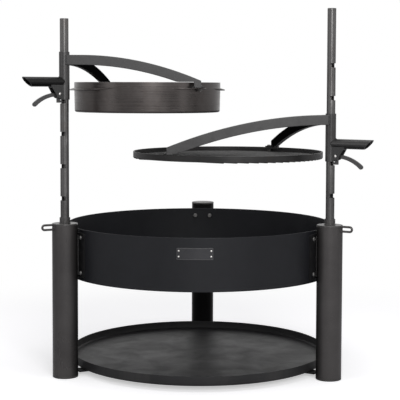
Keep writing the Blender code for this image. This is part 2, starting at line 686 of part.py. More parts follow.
def make_latch_bracket(axis, name, base):
    """Make the folded bracket under the handle that holds the latch pin."""
    top = base + HANDLE_UP - 0.6 * HANDLE_RADIUS
    under = base + HANDLE_UP - HANDLE_RADIUS - FIT
    outline = [
        (-SLEEVE_RADIUS / 2, base + LATCH_LOW_UP),
        (-SLEEVE_RADIUS - LATCH_LOW_OUT, base + LATCH_LOW_UP),
        (-SLEEVE_RADIUS - LATCH_FOOT_OUT, base + LATCH_FOOT_UP),
        (-SLEEVE_RADIUS - LATCH_WAIST_OUT, base + LATCH_WAIST_UP),
        (-SLEEVE_RADIUS - LATCH_TOP_OUT, top),
        (-SLEEVE_RADIUS / 2, top),
    ]
    bracket = place(name + "_latch_bracket", flat_mesh("latch_bracket", outline, 2 * LATCH_OUTER_HALF), axis,
                    finish=FINISH["latch"])
    inside = place("latch_inside", box_mesh("latch_inside", (-HANDLE_REACH, -LATCH_INNER_HALF, base - CUT_PAST),
                                            (CUT_PAST, LATCH_INNER_HALF, under - LATCH_TOP_PLATE)), axis)
    combine(bracket, inside, "DIFFERENCE")
    sleeve_room = place("sleeve_room", rod_mesh("sleeve_room", SLEEVE_ROOM, (0, 0, base - CUT_PAST),
                                                (0, 0, base + SLEEVE_LENGTH), SMALL_STEPS), axis)
    combine(bracket, sleeve_room, "DIFFERENCE")
    room = bore_radius(HANDLE_RADIUS, FIT, SMALL_STEPS)
    handle_room = place("handle_room", rod_mesh("handle_room", room, (-HANDLE_REACH, 0, base + HANDLE_UP),
                                                (CUT_PAST, 0, base + HANDLE_UP), SMALL_STEPS), axis)
    combine(bracket, handle_room, "DIFFERENCE")
    pin_drill = place("pin_drill", rod_mesh("pin_drill", PIN_HOLE, (-PIVOT_REACH, -2 * LATCH_OUTER_HALF, base + PIVOT_UP),
                                            (-PIVOT_REACH, 2 * LATCH_OUTER_HALF, base + PIVOT_UP), BOLT_STEPS), axis)
    combine(bracket, pin_drill, "DIFFERENCE")


def make_latch_pin(axis, name, base):
    """Make the headed pin that the lever turns on."""
    half = LATCH_OUTER_HALF + FIT
    pin = turned(name + "_latch_pin", [
        (0, half + PIN_HEAD_HEIGHT),
        (0.7 * PIN_HEAD_RADIUS, half + PIN_HEAD_HEIGHT),
        (PIN_HEAD_RADIUS, half + 0.4 * PIN_HEAD_HEIGHT),
        (PIN_HEAD_RADIUS, half),
        (PIN_RADIUS, half),
        (PIN_RADIUS, -half),
        (PIN_HEAD_RADIUS, -half),
        (PIN_HEAD_RADIUS, -half - 0.4 * PIN_HEAD_HEIGHT),
        (0.7 * PIN_HEAD_RADIUS, -half - PIN_HEAD_HEIGHT),
        (0, -half - PIN_HEAD_HEIGHT),
    ], BOLT_STEPS, axis, FINISH["bolt"], (-PIVOT_REACH, 0, base + PIVOT_UP))
    pin.rotation_euler = (-math.pi / 2, 0, 0)


def lever_outline():
    """Return the lever's side view from the pin: an arc that bends down to a round tip."""
    top = []
    bottom = []
    for step in range(LEVER_STEPS + 1):
        share = step / LEVER_STEPS
        run = LEVER_LENGTH * share
        half = (LEVER_THICKNESS + (LEVER_TIP_THICKNESS - LEVER_THICKNESS) * share) / 2
        angle = run / LEVER_BEND_RADIUS
        middle = (-LEVER_BEND_RADIUS * math.sin(angle), -LEVER_BEND_RADIUS * (1 - math.cos(angle)))
        across = (-math.sin(angle), math.cos(angle))
        top.append((middle[0] + half * across[0], middle[1] + half * across[1]))
        bottom.append((middle[0] - half * across[0], middle[1] - half * across[1]))
    end = LEVER_LENGTH / LEVER_BEND_RADIUS
    middle = (-LEVER_BEND_RADIUS * math.sin(end), -LEVER_BEND_RADIUS * (1 - math.cos(end)))
    tip = []
    for step in range(1, 6):
        swing = math.pi * step / 6
        along = LEVER_TIP_THICKNESS / 2 * math.sin(swing)
        across = LEVER_TIP_THICKNESS / 2 * math.cos(swing)
        tip.append((middle[0] - along * math.cos(end) - across * math.sin(end),
                    middle[1] - along * math.sin(end) + across * math.cos(end)))
    return top + tip + list(reversed(bottom))


def make_lever(axis, name, base):
    """Make the lever with its barrel and the pawl that drops into a notch."""
    pivot = empty(name + "_latch_axis", axis, (-PIVOT_REACH, 0, base + PIVOT_UP))
    lever = place(name + "_latch_lever", flat_mesh("lever", lever_outline(), 2 * LEVER_HALF_WIDTH), pivot,
                  finish=FINISH["lever"])
    reach = LATCH_INNER_HALF - BARREL_SIDE_GAP
    barrel = place("barrel", rod_mesh("barrel", BARREL_RADIUS, (0, -reach, 0), (0, reach - SPRING_ROOM, 0),
                                      SMALL_STEPS), pivot)
    combine(lever, barrel, "UNION")
    nose_low = -PIVOT_UP - NOSE_DROP - NOSE_HEIGHT / 2
    nose_tip = PIVOT_REACH - POST_RADIUS - PAWL_GAP
    outline = [
        (-PAWL_BACK, 0),
        (-PAWL_BACK, nose_low + EDGE_BREAK),
        (-PAWL_BACK + EDGE_BREAK, nose_low),
        (nose_tip, nose_low),
        (nose_tip, nose_low + NOSE_HEIGHT),
        (PIVOT_REACH - PAWL_FRONT, nose_low + NOSE_HEIGHT),
        (PIVOT_REACH - PAWL_FRONT, 0),
    ]
    pawl = place("pawl", flat_mesh("pawl", outline, 1.9 * LEVER_HALF_WIDTH), pivot)
    combine(lever, pawl, "UNION")
    drill = place("drill", rod_mesh("drill", PIN_HOLE, (0, -2 * LATCH_OUTER_HALF, 0), (0, 2 * LATCH_OUTER_HALF, 0),
                                    BOLT_STEPS), pivot)
    combine(lever, drill, "DIFFERENCE")


def make_latch_spring(axis, name, base):
    """Make the torsion spring that presses the pawl into its notch."""
    start = LATCH_INNER_HALF - BARREL_SIDE_GAP - SPRING_ROOM + 2.5 * SPRING_WIRE_RADIUS
    points = []
    turns = SPRING_TURNS * SPRING_POINTS
    for step in range(turns + 1):
        swing = 2 * math.pi * step / SPRING_POINTS
        points.append((-PIVOT_REACH + SPRING_RADIUS * math.cos(swing), start + SPRING_PITCH * step / SPRING_POINTS,
                       base + PIVOT_UP + SPRING_RADIUS * math.sin(swing)))
    first = points[0]
    last = points[-1]
    points.insert(0, (first[0], first[1], first[2] - SPRING_LEG))
    points.append((last[0], last[1], last[2] + SPRING_LEG))
    wire(name + "_latch_spring", points, SPRING_WIRE_RADIUS, axis, FINISH["spring"], 1)


def make_pan(axis, base):
    """Make the pan with the flange that hangs it under the arms."""
    rim = base + PAN_RIM_UP
    low = rim - PAN_HEIGHT
    flange = rim - FLANGE_DROP
    return turned("pan", [
        (0, low + PAN_WALL),
        (PAN_BASE_RADIUS - PAN_WALL - PAN_FILLET, low + PAN_WALL),
        (PAN_BASE_RADIUS - PAN_WALL, low + PAN_WALL + PAN_FILLET),
        (PAN_RADIUS - PAN_WALL, rim),
        (PAN_RADIUS, rim),
        (PAN_RADIUS, flange),
        (FLANGE_RADIUS, flange),
        (FLANGE_RADIUS, flange - FLANGE_THICKNESS),
        (PAN_RADIUS, flange - FLANGE_THICKNESS),
        (PAN_BASE_RADIUS, low + PAN_FILLET),
        (PAN_BASE_RADIUS - PAN_FILLET, low),
        (0, low),
    ], BIG_STEPS, axis, FINISH["pan"], (PAN_REACH, 0, 0))


def make_grate(axis, base):
    """Make the grate: a ring of flat bar with rods across it and a lug under each arm's foot."""
    top = base + GRATE_TOP_UP
    low = top - GRATE_RING_HEIGHT
    inner = GRATE_RADIUS - GRATE_RING_THICKNESS
    grate = turned("grate", [(GRATE_RADIUS, top), (GRATE_RADIUS, low), (inner, low), (inner, top)],
                   BIG_STEPS, axis, FINISH["grate"], (GRATE_REACH, 0, 0), turn=180 / BIG_STEPS, loop=True)
    height = low + ROD_RADIUS - ROD_SHOW
    shape = bmesh.new()
    for step in range(-ROD_HALF_COUNT, ROD_HALF_COUNT + 1):
        across = step * ROD_PITCH
        add_rod(shape, ROD_RADIUS, (-GRATE_RADIUS, across, height), (GRATE_RADIUS, across, height), ROD_STEPS)
    mesh = bpy.data.meshes.new("rods")
    shape.to_mesh(mesh)
    shape.free()
    rods = place("rods", mesh, axis, (GRATE_REACH, 0, 0))
    reach = GRATE_RADIUS - GRATE_RING_THICKNESS / 2
    disc = place("rod_ends", rod_mesh("rod_ends", reach, (0, 0, low - 2 * ROD_RADIUS), (0, 0, top), BIG_STEPS),
                 axis, (GRATE_REACH, 0, 0), turn=90 / BIG_STEPS)
    combine(rods, disc, "INTERSECT")
    combine(grate, rods, "UNION")
    for sign in (-1, 1):
        edges = sorted((sign * (GRATE_FOOT_RADIUS - LUG_INSIDE), sign * (inner + FIT)))
        lug = place("lug", box_mesh("lug", (GRATE_REACH - LUG_BACK, edges[0], top - LUG_THICKNESS),
                                    (GRATE_REACH + LUG_FRONT, edges[1], top)), axis)
        combine(grate, lug, "UNION")
    return grate


def make_side(root, name, side):
    """Make one post with everything that slides on it."""
    axis = empty(name + "_post_axis", root, on_circle(LEG_CIRCLE, LEG_ANGLES[side["leg"]]), side["arm_angle"])
    base = sleeve_base(side)
    make_post(axis, name, side)
    make_sleeve(axis, name, base)
    make_handle(axis, name, base)
    make_latch_bracket(axis, name, base)
    make_latch_pin(axis, name, base)
    make_lever(axis, name, base)
    make_latch_spring(axis, name, base)
    if name == "left":
        held = make_pan(axis, base)
        rim = base + PAN_RIM_UP
        seat = rim - FLANGE_DROP
        make_arms(axis, name, side, base, PAN_REACH, PAN_FOOT_RADIUS, seat, PAN_RADIUS, rim)
        make_foot_bolts(axis, name, PAN_REACH, PAN_FOOT_RADIUS, seat, held, FLANGE_THICKNESS)
    else:
        held = make_grate(axis, base)
        seat = base + GRATE_TOP_UP
        make_arms(axis, name, side, base, GRATE_REACH, GRATE_FOOT_RADIUS, seat, None, None)
        make_foot_bolts(axis, name, GRATE_REACH, GRATE_FOOT_RADIUS, seat, held, LUG_THICKNESS)


def make_all():
    """Make the whole object."""
    root = empty("fire_bowl", None, -footprint_middle())
    wall = make_bowl(root)
    make_tray(root)
    with_posts = [side["leg"] for side in SIDES.values()]
    for name, angle in LEG_ANGLES.items():
        make_leg(root, name, angle, name in with_posts)
        make_bracket(root, wall, name, angle)
    for name, side in SIDES.items():
        make_socket(root, name, LEG_ANGLES[side["leg"]])
        make_side(root, name, side)


clear_scene()
PARTS = new_collection("fire_bowl_with_grill_grate")
CUTTERS = new_collection("cutters")
FINISH = {
    "bowl": paint("bowl_black", (0.022, 0.023, 0.026), 0.55, 0.3),
    "bowl_floor": paint("bowl_inside_black", (0.018, 0.018, 0.020), 0.65, 0.3),
    "plate": paint("plate_black", (0.030, 0.031, 0.034), 0.45, 0.5),
    "leg": paint("leg_black", (0.045, 0.043, 0.043), 0.38, 0.6),
    "cap": paint("cap_black", (0.060, 0.058, 0.058), 0.40, 0.6),
    "foot": paint("foot_black", (0.035, 0.034, 0.034), 0.50, 0.4),
    "bracket": paint("bracket_black", (0.020, 0.020, 0.022), 0.55, 0.4),
    "bolt": paint("bolt_zinc", (0.45, 0.44, 0.43), 0.35, 1.0),
    "tray": paint("tray_black", (0.024, 0.024, 0.027), 0.50, 0.4),
    "socket": paint("socket_dark", (0.060, 0.059, 0.058), 0.36, 0.7),
    "post": paint("post_dark_steel", (0.090, 0.088, 0.088), 0.34, 0.8),
    "sleeve": paint("sleeve_dark_steel", (0.070, 0.068, 0.067), 0.38, 0.7),
    "arm": paint("arm_dark_steel", (0.075, 0.073, 0.072), 0.42, 0.6),
    "handle": paint("handle_black", (0.040, 0.039, 0.039), 0.36, 0.6),
    "latch": paint("latch_black", (0.035, 0.034, 0.034), 0.45, 0.5),
    "lever": paint("lever_dark_steel", (0.060, 0.058, 0.057), 0.40, 0.6),
    "spring": paint("spring_steel", (0.35, 0.35, 0.35), 0.30, 1.0),
    "pan": paint("pan_raw_steel", (0.115, 0.105, 0.100), 0.42, 0.8),
    "grate": paint("grate_dark_steel", (0.040, 0.040, 0.041), 0.48, 0.6),
}
make_all()
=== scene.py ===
import math

import bmesh
import bpy
from mathutils import Matrix, Vector


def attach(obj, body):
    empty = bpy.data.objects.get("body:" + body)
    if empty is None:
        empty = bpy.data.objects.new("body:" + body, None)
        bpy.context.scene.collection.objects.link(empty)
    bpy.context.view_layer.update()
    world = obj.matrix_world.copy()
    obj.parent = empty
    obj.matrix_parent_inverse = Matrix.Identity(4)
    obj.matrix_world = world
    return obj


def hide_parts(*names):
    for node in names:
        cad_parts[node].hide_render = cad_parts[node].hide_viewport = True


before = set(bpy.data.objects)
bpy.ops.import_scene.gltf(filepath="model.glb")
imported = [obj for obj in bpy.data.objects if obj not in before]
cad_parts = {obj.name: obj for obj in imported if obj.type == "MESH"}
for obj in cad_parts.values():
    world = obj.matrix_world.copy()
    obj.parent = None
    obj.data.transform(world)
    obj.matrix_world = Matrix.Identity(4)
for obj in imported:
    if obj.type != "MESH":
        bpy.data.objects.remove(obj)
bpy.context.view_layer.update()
scene = bpy.context.scene

# Sizes in metres, and profiles of (radius, height). FIT is the play between solids of the source that touch.
FIT = 0.0003
BOWL_RADIUS = 0.400
BOWL_INNER = 0.397
BOWL_RIM_Z = 0.430
BOWL_BASE_Z = 0.280
FLOOR_RADIUS = 0.3967
FLOOR_EDGE_Z = 0.297
FLOOR_DISH = 0.012
FLOOR_THICKNESS = 0.003
PLATE_LOW = 0.3695
PLATE_HIGH = 0.4025
PLATE_THICKNESS = 0.0012
PLATE_HALF_WIDTH = 0.0505
STRIP_WIDTH = 0.0014
STRIP_INSET = 0.0005
STRIP_THICKNESS = 0.0006
RIVET_ACROSS = 0.0447
RIVET_HEIGHTS = (0.3785, 0.3940)
RIVET = ((0, -0.0004), (0.0028, -0.0004), (0.0028, 0.0005), (0.0023, 0.0012), (0.0012, 0.0016), (0, 0.0017))

LEG_RADIUS = 0.037
LEG_INNER = 0.034
LEG_HEIGHT = 0.448
LEG_CIRCLE = 0.4406
LEG_ANGLES = {"front_left": -60.0, "front_right": 60.0, "back": 180.0}
CAP_BASE_Z = 0.444
FOOT_EDGE_Z = 0.006
FOOT_PLUG_Z = 0.020
BRACKET_THICKNESS = 0.003
BRACKET_LOW = 0.290
BRACKET_HIGH = 0.420
BRACKET_HALF_WIDTH = 0.046
BRACKET_WELD_ACROSS = 0.0125
BRACKET_WELD_OUT = 0.4056
BOLT_ACROSS = 0.025
BOLT_HEIGHTS = {"upper": 0.406, "lower": 0.304}
BOLT_GRIP = 0.0074
BOLT_RADIUS = 0.004
BOLT_HEAD = ((0, 0.0022), (0.0024, 0.0022), (0.0026, 0.0040), (0.0044, 0.0038), (0.0058, 0.0026),
             (0.0065, FIT))
NUT_RADIUS = 0.0068
NUT_HEIGHT = 0.005
TRAY_RADIUS = 0.390
TRAY_BASE_Z = 0.016
TRAY_FLOOR_Z = 0.019
TRAY_RIM_Z = 0.044
TRAY_WALL = 0.003
TAB_HALF_WIDTH = 0.018
TAB_LENGTH = 0.055
TAB_THICKNESS = 0.005
SOCKET_RADIUS = 0.015362
SOCKET_TOP_Z = 0.465
SOCKET_FLOOR_Z = 0.292
SOCKET_BASE_Z = 0.288
BORE_RADIUS = 0.0131
EYE_WIRE = 0.00325
EYE_BEND = 0.00675
EYE_REACH = 0.0355

POST_RADIUS = 0.0125
POST_INNER = 0.010
POST_LID = 0.004
NOTCH_COUNT = 5
NOTCH_PITCH = 0.093
NOTCH_HALF_HEIGHT = 0.006
NOTCH_FACE = 0.0035
SLEEVE_RADIUS = 0.015162
SLEEVE_LENGTH = 0.137
ARM_HEIGHT = 0.0285
ARM_THICKNESS = 0.014
ARM_ROOT = 0.010
ARM_BEYOND = 0.022
ARM_SADDLE = 0.01555
ARM_WELDS = ((-0.0045, 0.0160), (0.0137, 0.0098))
PAD_THICKNESS = 0.004
PAD_HALF_WIDTH = 0.008
PAD_FROM = -0.010
PAD_TO = 0.034
PAD_BOLT = 0.0245
HANDLE_RADIUS = 0.014
HANDLE_BORE = 0.011
HANDLE_REACH = 0.136
HANDLE_UP = 0.051
PIVOT_REACH = 0.021462
PIVOT_UP = 0.016
LEVER_BEND = 0.125
LEVER_LENGTH = 0.084
LEVER_TIP = 0.0063
PAWL_NOSE = -0.0245
PAWL_HEIGHT = 0.007
PAWL_DEPTH = 0.0041
PIN = ((0, 0.0139), (0.0020, 0.01385), (0.0034, 0.0133), (0.0042, 0.0126), (0.0042, 0.0123), (0.0025, 0.0123))
SPRING_RADIUS = 0.0041
SPRING_PITCH = 0.0012
SPRING_FROM = 0.0044

PAN_REACH = 0.291662
PAN_RADIUS = 0.220
PAN_INNER = 0.217
PAN_SHEET = 0.003
PAN_RIM_UP = 0.051
PAN_DEPTH = 0.089
FLANGE_DROP = 0.0165
FLANGE_RADIUS = 0.2365
EAR_ANGLE = 17.4
EAR_HALF_ANGLE = 45
EAR_DIP = 0.005
FOOT_HALF_ANGLE = 15
GRATE_REACH = 0.354762
GRATE_RADIUS = 0.287
GRATE_INNER = 0.283
GRATE_TOP_UP = 0.018
ROD_COUNT = 23
ROD_PITCH = 0.022
ROD_RADIUS = 0.004
ROD_END = 0.2845
ROD_UP = 0.0015
LUG_THICKNESS = 0.005

# Steps round a circle, the roundness of edges, and the least angle in degrees of a sharp edge
BOWL_STEPS = 192
LEG_STEPS = 72
POST_STEPS = 64
RIM_EDGE = 0.0014
THICK_EDGE = 0.0016
TUBE_EDGE = 0.0007
PLATE_EDGE = 0.0008
SHARP_ANGLE = 32

# Per side: the angle of its leg, the way its arms point, the post's top, the lowest notch, the sleeve's
# lower end, the arms' top below the sleeve's, their straight length, their reach, the circle their feet
# stand on, its height over the sleeve's lower end, and the thickness that the foot bolts hold
SIDES = {
    "left": {"leg": -60.0, "turn": 39.4, "top": 1.036, "notch": 0.520, "base": 0.804, "drop": 0.009,
             "straight": 0.045, "reach": PAN_REACH, "foot_radius": (PAN_RADIUS + FLANGE_RADIUS) / 2,
             "seat": PAN_RIM_UP - FLANGE_DROP + FIT, "held": PAN_SHEET},
    "right": {"leg": 60.0, "turn": 146.05, "top": 1.066, "notch": 0.532, "base": 0.630, "drop": 0.004,
              "straight": 0.002, "reach": GRATE_REACH, "foot_radius": GRATE_INNER - 0.011,
              "seat": GRATE_TOP_UP + FIT, "held": LUG_THICKNESS},
}

# The bowl's axis on the ground, and the camera relative to it
AXIS = Vector((-0.003464, -0.0379, 0.0))
CAMERA_AT = Vector((0.1016, -3.5988, 0.8407))
YAW = math.radians(-1.5837)
PITCH = math.radians(3.5277)
ROLL = math.radians(0.17)
FOCAL_LENGTH = 1180 / 400
SENSOR_WIDTH = 36
LENS_SHIFT = -0.1
WORLD_LEVEL = 0.12
FLOOR_GLOW = 0.50
FLOOR_HALF_SIZE = 12
FLOOR_FADE = (0.75, 1.6)


def on_circle(radius, angle, height=0.0):
    turn = math.radians(angle)
    return Vector((radius * math.sin(turn), -radius * math.cos(turn), height))


def shift(x, y, z):
    return Matrix.Translation((x, y, z))


def spin(angle, axis="Z"):
    return Matrix.Rotation(math.radians(angle), 4, axis)


ROOT = Matrix.Translation(AXIS)
LEG_AT = {name: ROOT @ Matrix.Translation(on_circle(LEG_CIRCLE, angle)) for name, angle in LEG_ANGLES.items()}
POST_AT = {name: ROOT @ Matrix.Translation(on_circle(LEG_CIRCLE, side["leg"])) @ spin(side["turn"])
           for name, side in SIDES.items()}


def arm_place(name, hand):
    """Return the frame of one arm and its side of the post."""
    side = SIDES[name]
    swing = math.degrees(math.atan2(side["foot_radius"] - ARM_ROOT, side["reach"]))
    sign = 1 if (name == "right") == (hand == "near") else -1
    return POST_AT[name] @ shift(0, sign * ARM_ROOT, 0) @ spin(sign * swing), sign


# Mesh helpers
def circle(radius, steps):
    """Return points round a circle."""
    swings = [2 * math.pi * step / steps for step in range(steps)]
    return [(radius * math.cos(swing), radius * math.sin(swing)) for swing in swings]


def rounded(points, radius, count=3, loop=False):
    """Round the corners of a 2D line."""
    line = [Vector(point) for point in points]
    out = []
    total = len(line)
    for index, point in enumerate(line):
        if not loop and index in (0, total - 1):
            out.append(tuple(point))
            continue
        back = line[index - 1] - point
        ahead = line[(index + 1) % total] - point
        inset = min(radius, 0.45 * back.length, 0.45 * ahead.length)
        start = point + back.normalized() * inset
        end = point + ahead.normalized() * inset
        for step in range(count + 1):
            share = step / count
            out.append(tuple(start * (1 - share) ** 2 + point * 2 * share * (1 - share) + end * share ** 2))
    return out


def ring_wall(outer, inner, low, high, edge, count=2):
    """Return the section of a ring, with rounded corners."""
    return rounded([(outer, high), (outer, low), (inner, low), (inner, high)], edge, count, True)


def lathe(shape, profile, steps, matrix, loop=False):
    """Turn a profile of (radius, height) about Z."""
    rings = []
    for radius, height in profile:
        spots = [(0, 0)] if radius < 1e-6 else circle(radius, steps)
        rings.append([shape.verts.new(matrix @ Vector((x, y, height))) for x, y in spots])
    pairs = list(zip(rings, rings[1:]))
    if loop:
        pairs.append((rings[-1], rings[0]))
    for one, two in pairs:
        for step in range(steps):
            after = (step + 1) % steps
            corners = (one[step % len(one)], one[after % len(one)], two[after % len(two)],
                       two[step % len(two)])
            face = list(dict.fromkeys(corners))
            if len(face) > 2:
                shape.faces.new(face)
    if not loop:
        for ring in (rings[0], rings[-1]):
            if len(ring) > 1:
                shape.faces.new(ring)


def loft(shape, loops, matrix, caps=True):
    """Join closed loops of points one after another."""
    rings = [[shape.verts.new(matrix @ Vector(point)) for point in loop] for loop in loops]
    for one, two in zip(rings, rings[1:]):
        for step in range(len(one)):
            after = (step + 1) % len(one)
            shape.faces.new((one[step], one[after], two[after], two[step]))
    if caps:
        shape.faces.new(rings[0])
        shape.faces.new(rings[-1])


def tube(shape, points, radius, steps, matrix, ripple=0.0):
    """Sweep a round section along points. ripple makes the steps of a weld."""
    line = [Vector(point) for point in points]
    last = len(line) - 1
    side = None
    loops = []
    for index, point in enumerate(line):
        ahead = (line[min(index + 1, last)] - line[max(index - 1, 0)]).normalized()
        if side is None:
            side = ahead.orthogonal().normalized()
        side = (side - ahead * side.dot(ahead)).normalized()
        other = ahead.cross(side)
        size = radius * (1 - ripple * (index % 3 == 0))
        if ripple and index in (0, last):
            size = radius * 0.4
        loops.append([point + side * x + other * y for x, y in circle(size, steps)])
    loft(shape, loops, matrix)


def bead(shape, start, end, radius, matrix):
    """Lay a weld bead along a straight line."""
    start = Vector(start)
    end = Vector(end)
    count = max(6, int((end - start).length / (radius * 0.55)))
    tube(shape, [start.lerp(end, step / count) for step in range(count + 1)], radius, 8, matrix, 0.16)


def ring_bead(shape, path_radius, height, radius, matrix):
    """Lay a weld bead round a circle about Z."""
    count = int(2 * math.pi * path_radius / (radius * 0.6) / 3) * 3
    points = [(x, y, height) for x, y in circle(path_radius, count)]
    tube(shape, points + points[:1], radius, 8, matrix, 0.14)


def slab(shape, low, high, edge, matrix):
    """Add a block with rounded edges."""
    size = Vector(high) - Vector(low)
    middle = (Vector(high) + Vector(low)) / 2
    place = matrix @ Matrix.Translation(middle) @ Matrix.Diagonal((*size, 1))
    made = bmesh.ops.create_cube(shape, size=1.0, matrix=place)
    edges = list({line for vert in made["verts"] for line in vert.link_edges})
    bmesh.ops.bevel(shape, geom=edges, offset=edge, segments=2, profile=0.5, affect="EDGES",
                    clamp_overlap=True)


def cutout(shape, outline, half, edge, matrix):
    """Add a flat plate from an outline in X and Z, with rounded edges."""
    points = [Vector((x, 0, z)) for x, z in outline]
    total = len(points)
    inset = []
    turn = sum(points[i - 1].x * points[i].z - points[i].x * points[i - 1].z for i in range(total))
    sign = 1 if turn > 0 else -1
    for index, point in enumerate(points):
        back = (point - points[index - 1]).normalized()
        ahead = (points[(index + 1) % total] - point).normalized()
        normal = Vector((-(back.z + ahead.z), 0, back.x + ahead.x)) * sign
        inset.append(normal.normalized() if normal.length > 1e-6 else Vector((0, 0, 0)))
    loops = []
    for across, into in ((-half, edge), (-half + edge * 0.3, edge * 0.3), (-half + edge, 0),
                         (half - edge, 0), (half - edge * 0.3, edge * 0.3), (half, edge)):
        loops.append([point + way * into + Vector((0, across, 0)) for point, way in zip(points, inset)])
    loft(shape, loops, matrix)


def curved_plate(shape, radius, thickness, low, high, half_width, corner, edge, matrix):
    """Add a plate bent round Z with rounded corners, centred on the front."""
    loops = []
    columns = 40
    height = (high - low) / 2
    middle = (high + low) / 2
    for step in range(columns + 1):
        run = -half_width * math.cos(math.pi * step / columns)
        into = max(0, corner - (half_width - abs(run)))
        tall = height - corner + math.sqrt(max(0, corner ** 2 - into ** 2))
        thin = thickness if step not in (0, columns) else thickness * 0.6
        angle = math.degrees(run / radius)
        section = [(radius, -tall), (radius + thin - edge, -tall), (radius + thin, -tall + edge),
                   (radius + thin, tall - edge), (radius + thin - edge, tall), (radius, tall)]
        loops.append([on_circle(out, angle, middle + up) for out, up in section])
    loft(shape, loops, matrix)


def make_mesh(name, build):
    """Make a mesh from a function that fills a bmesh."""
    shape = bmesh.new()
    build(shape)
    bmesh.ops.recalc_face_normals(shape, faces=shape.faces)
    mesh = bpy.data.meshes.new(name)
    shape.to_mesh(mesh)
    shape.free()
    return mesh


def add_object(name, data):
    item = bpy.data.objects.new(name, data)
    scene.collection.objects.link(item)
    return item


def smooth(item):
    """Shade a piece smooth between its sharp edges."""
    item.data.shade_smooth()
    item.data.set_sharp_from_angle(angle=math.radians(SHARP_ANGLE))
    item.modifiers.new("even", "WEIGHTED_NORMAL").keep_sharp = True


def soften(item, width, least):
    """Bevel the edges that turn by more than an angle."""
    soft = item.modifiers.new("soft", "BEVEL")
    soft.width = width
    soft.segments = 2
    soft.limit_method = "ANGLE"
    soft.angle_limit = math.radians(least)


def piece(name, build, finish, body, slot, *nodes):
    """Make one piece of the model from a function that fills a bmesh."""
    item = add_object(name, make_mesh(name, build))
    item.data.materials.append(finish)
    smooth(item)
    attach(item, body)
    if nodes:
        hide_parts(*nodes)
    return item


def fine(node, build, finish, body, slot):
    """Make the piece that stands for one node of the source."""
    return piece(node + "_fine", build, finish, body, slot, node)


def cut(item, build, bevel=0.0):
    """Cut a shape out of a piece and keep the result as its mesh."""
    cutter = add_object("cutter", make_mesh("cutter", build))
    item.modifiers.clear()
    step = item.modifiers.new("cut", "BOOLEAN")
    step.operation = "DIFFERENCE"
    step.solver = "EXACT"
    step.object = cutter
    if bevel:
        soften(item, bevel, 40)
    bpy.context.view_layer.update()
    made = bpy.data.meshes.new_from_object(item.evaluated_get(bpy.context.evaluated_depsgraph_get()))
    item.modifiers.clear()
    spent = (item.data, cutter.data)
    item.data = made
    bpy.data.objects.remove(cutter)
    for mesh in spent:
        bpy.data.meshes.remove(mesh)
    made.name = item.name
    smooth(item)


# Materials
# Painted shade: the near black colour laid on faces that look away from the light.
PAINTED_SHADE_BLACK = (0.0045, 0.0044, 0.0044)
BARE_EDGE = (0.17, 0.165, 0.16)


def times(color, factor):
    return tuple(value * factor for value in color)


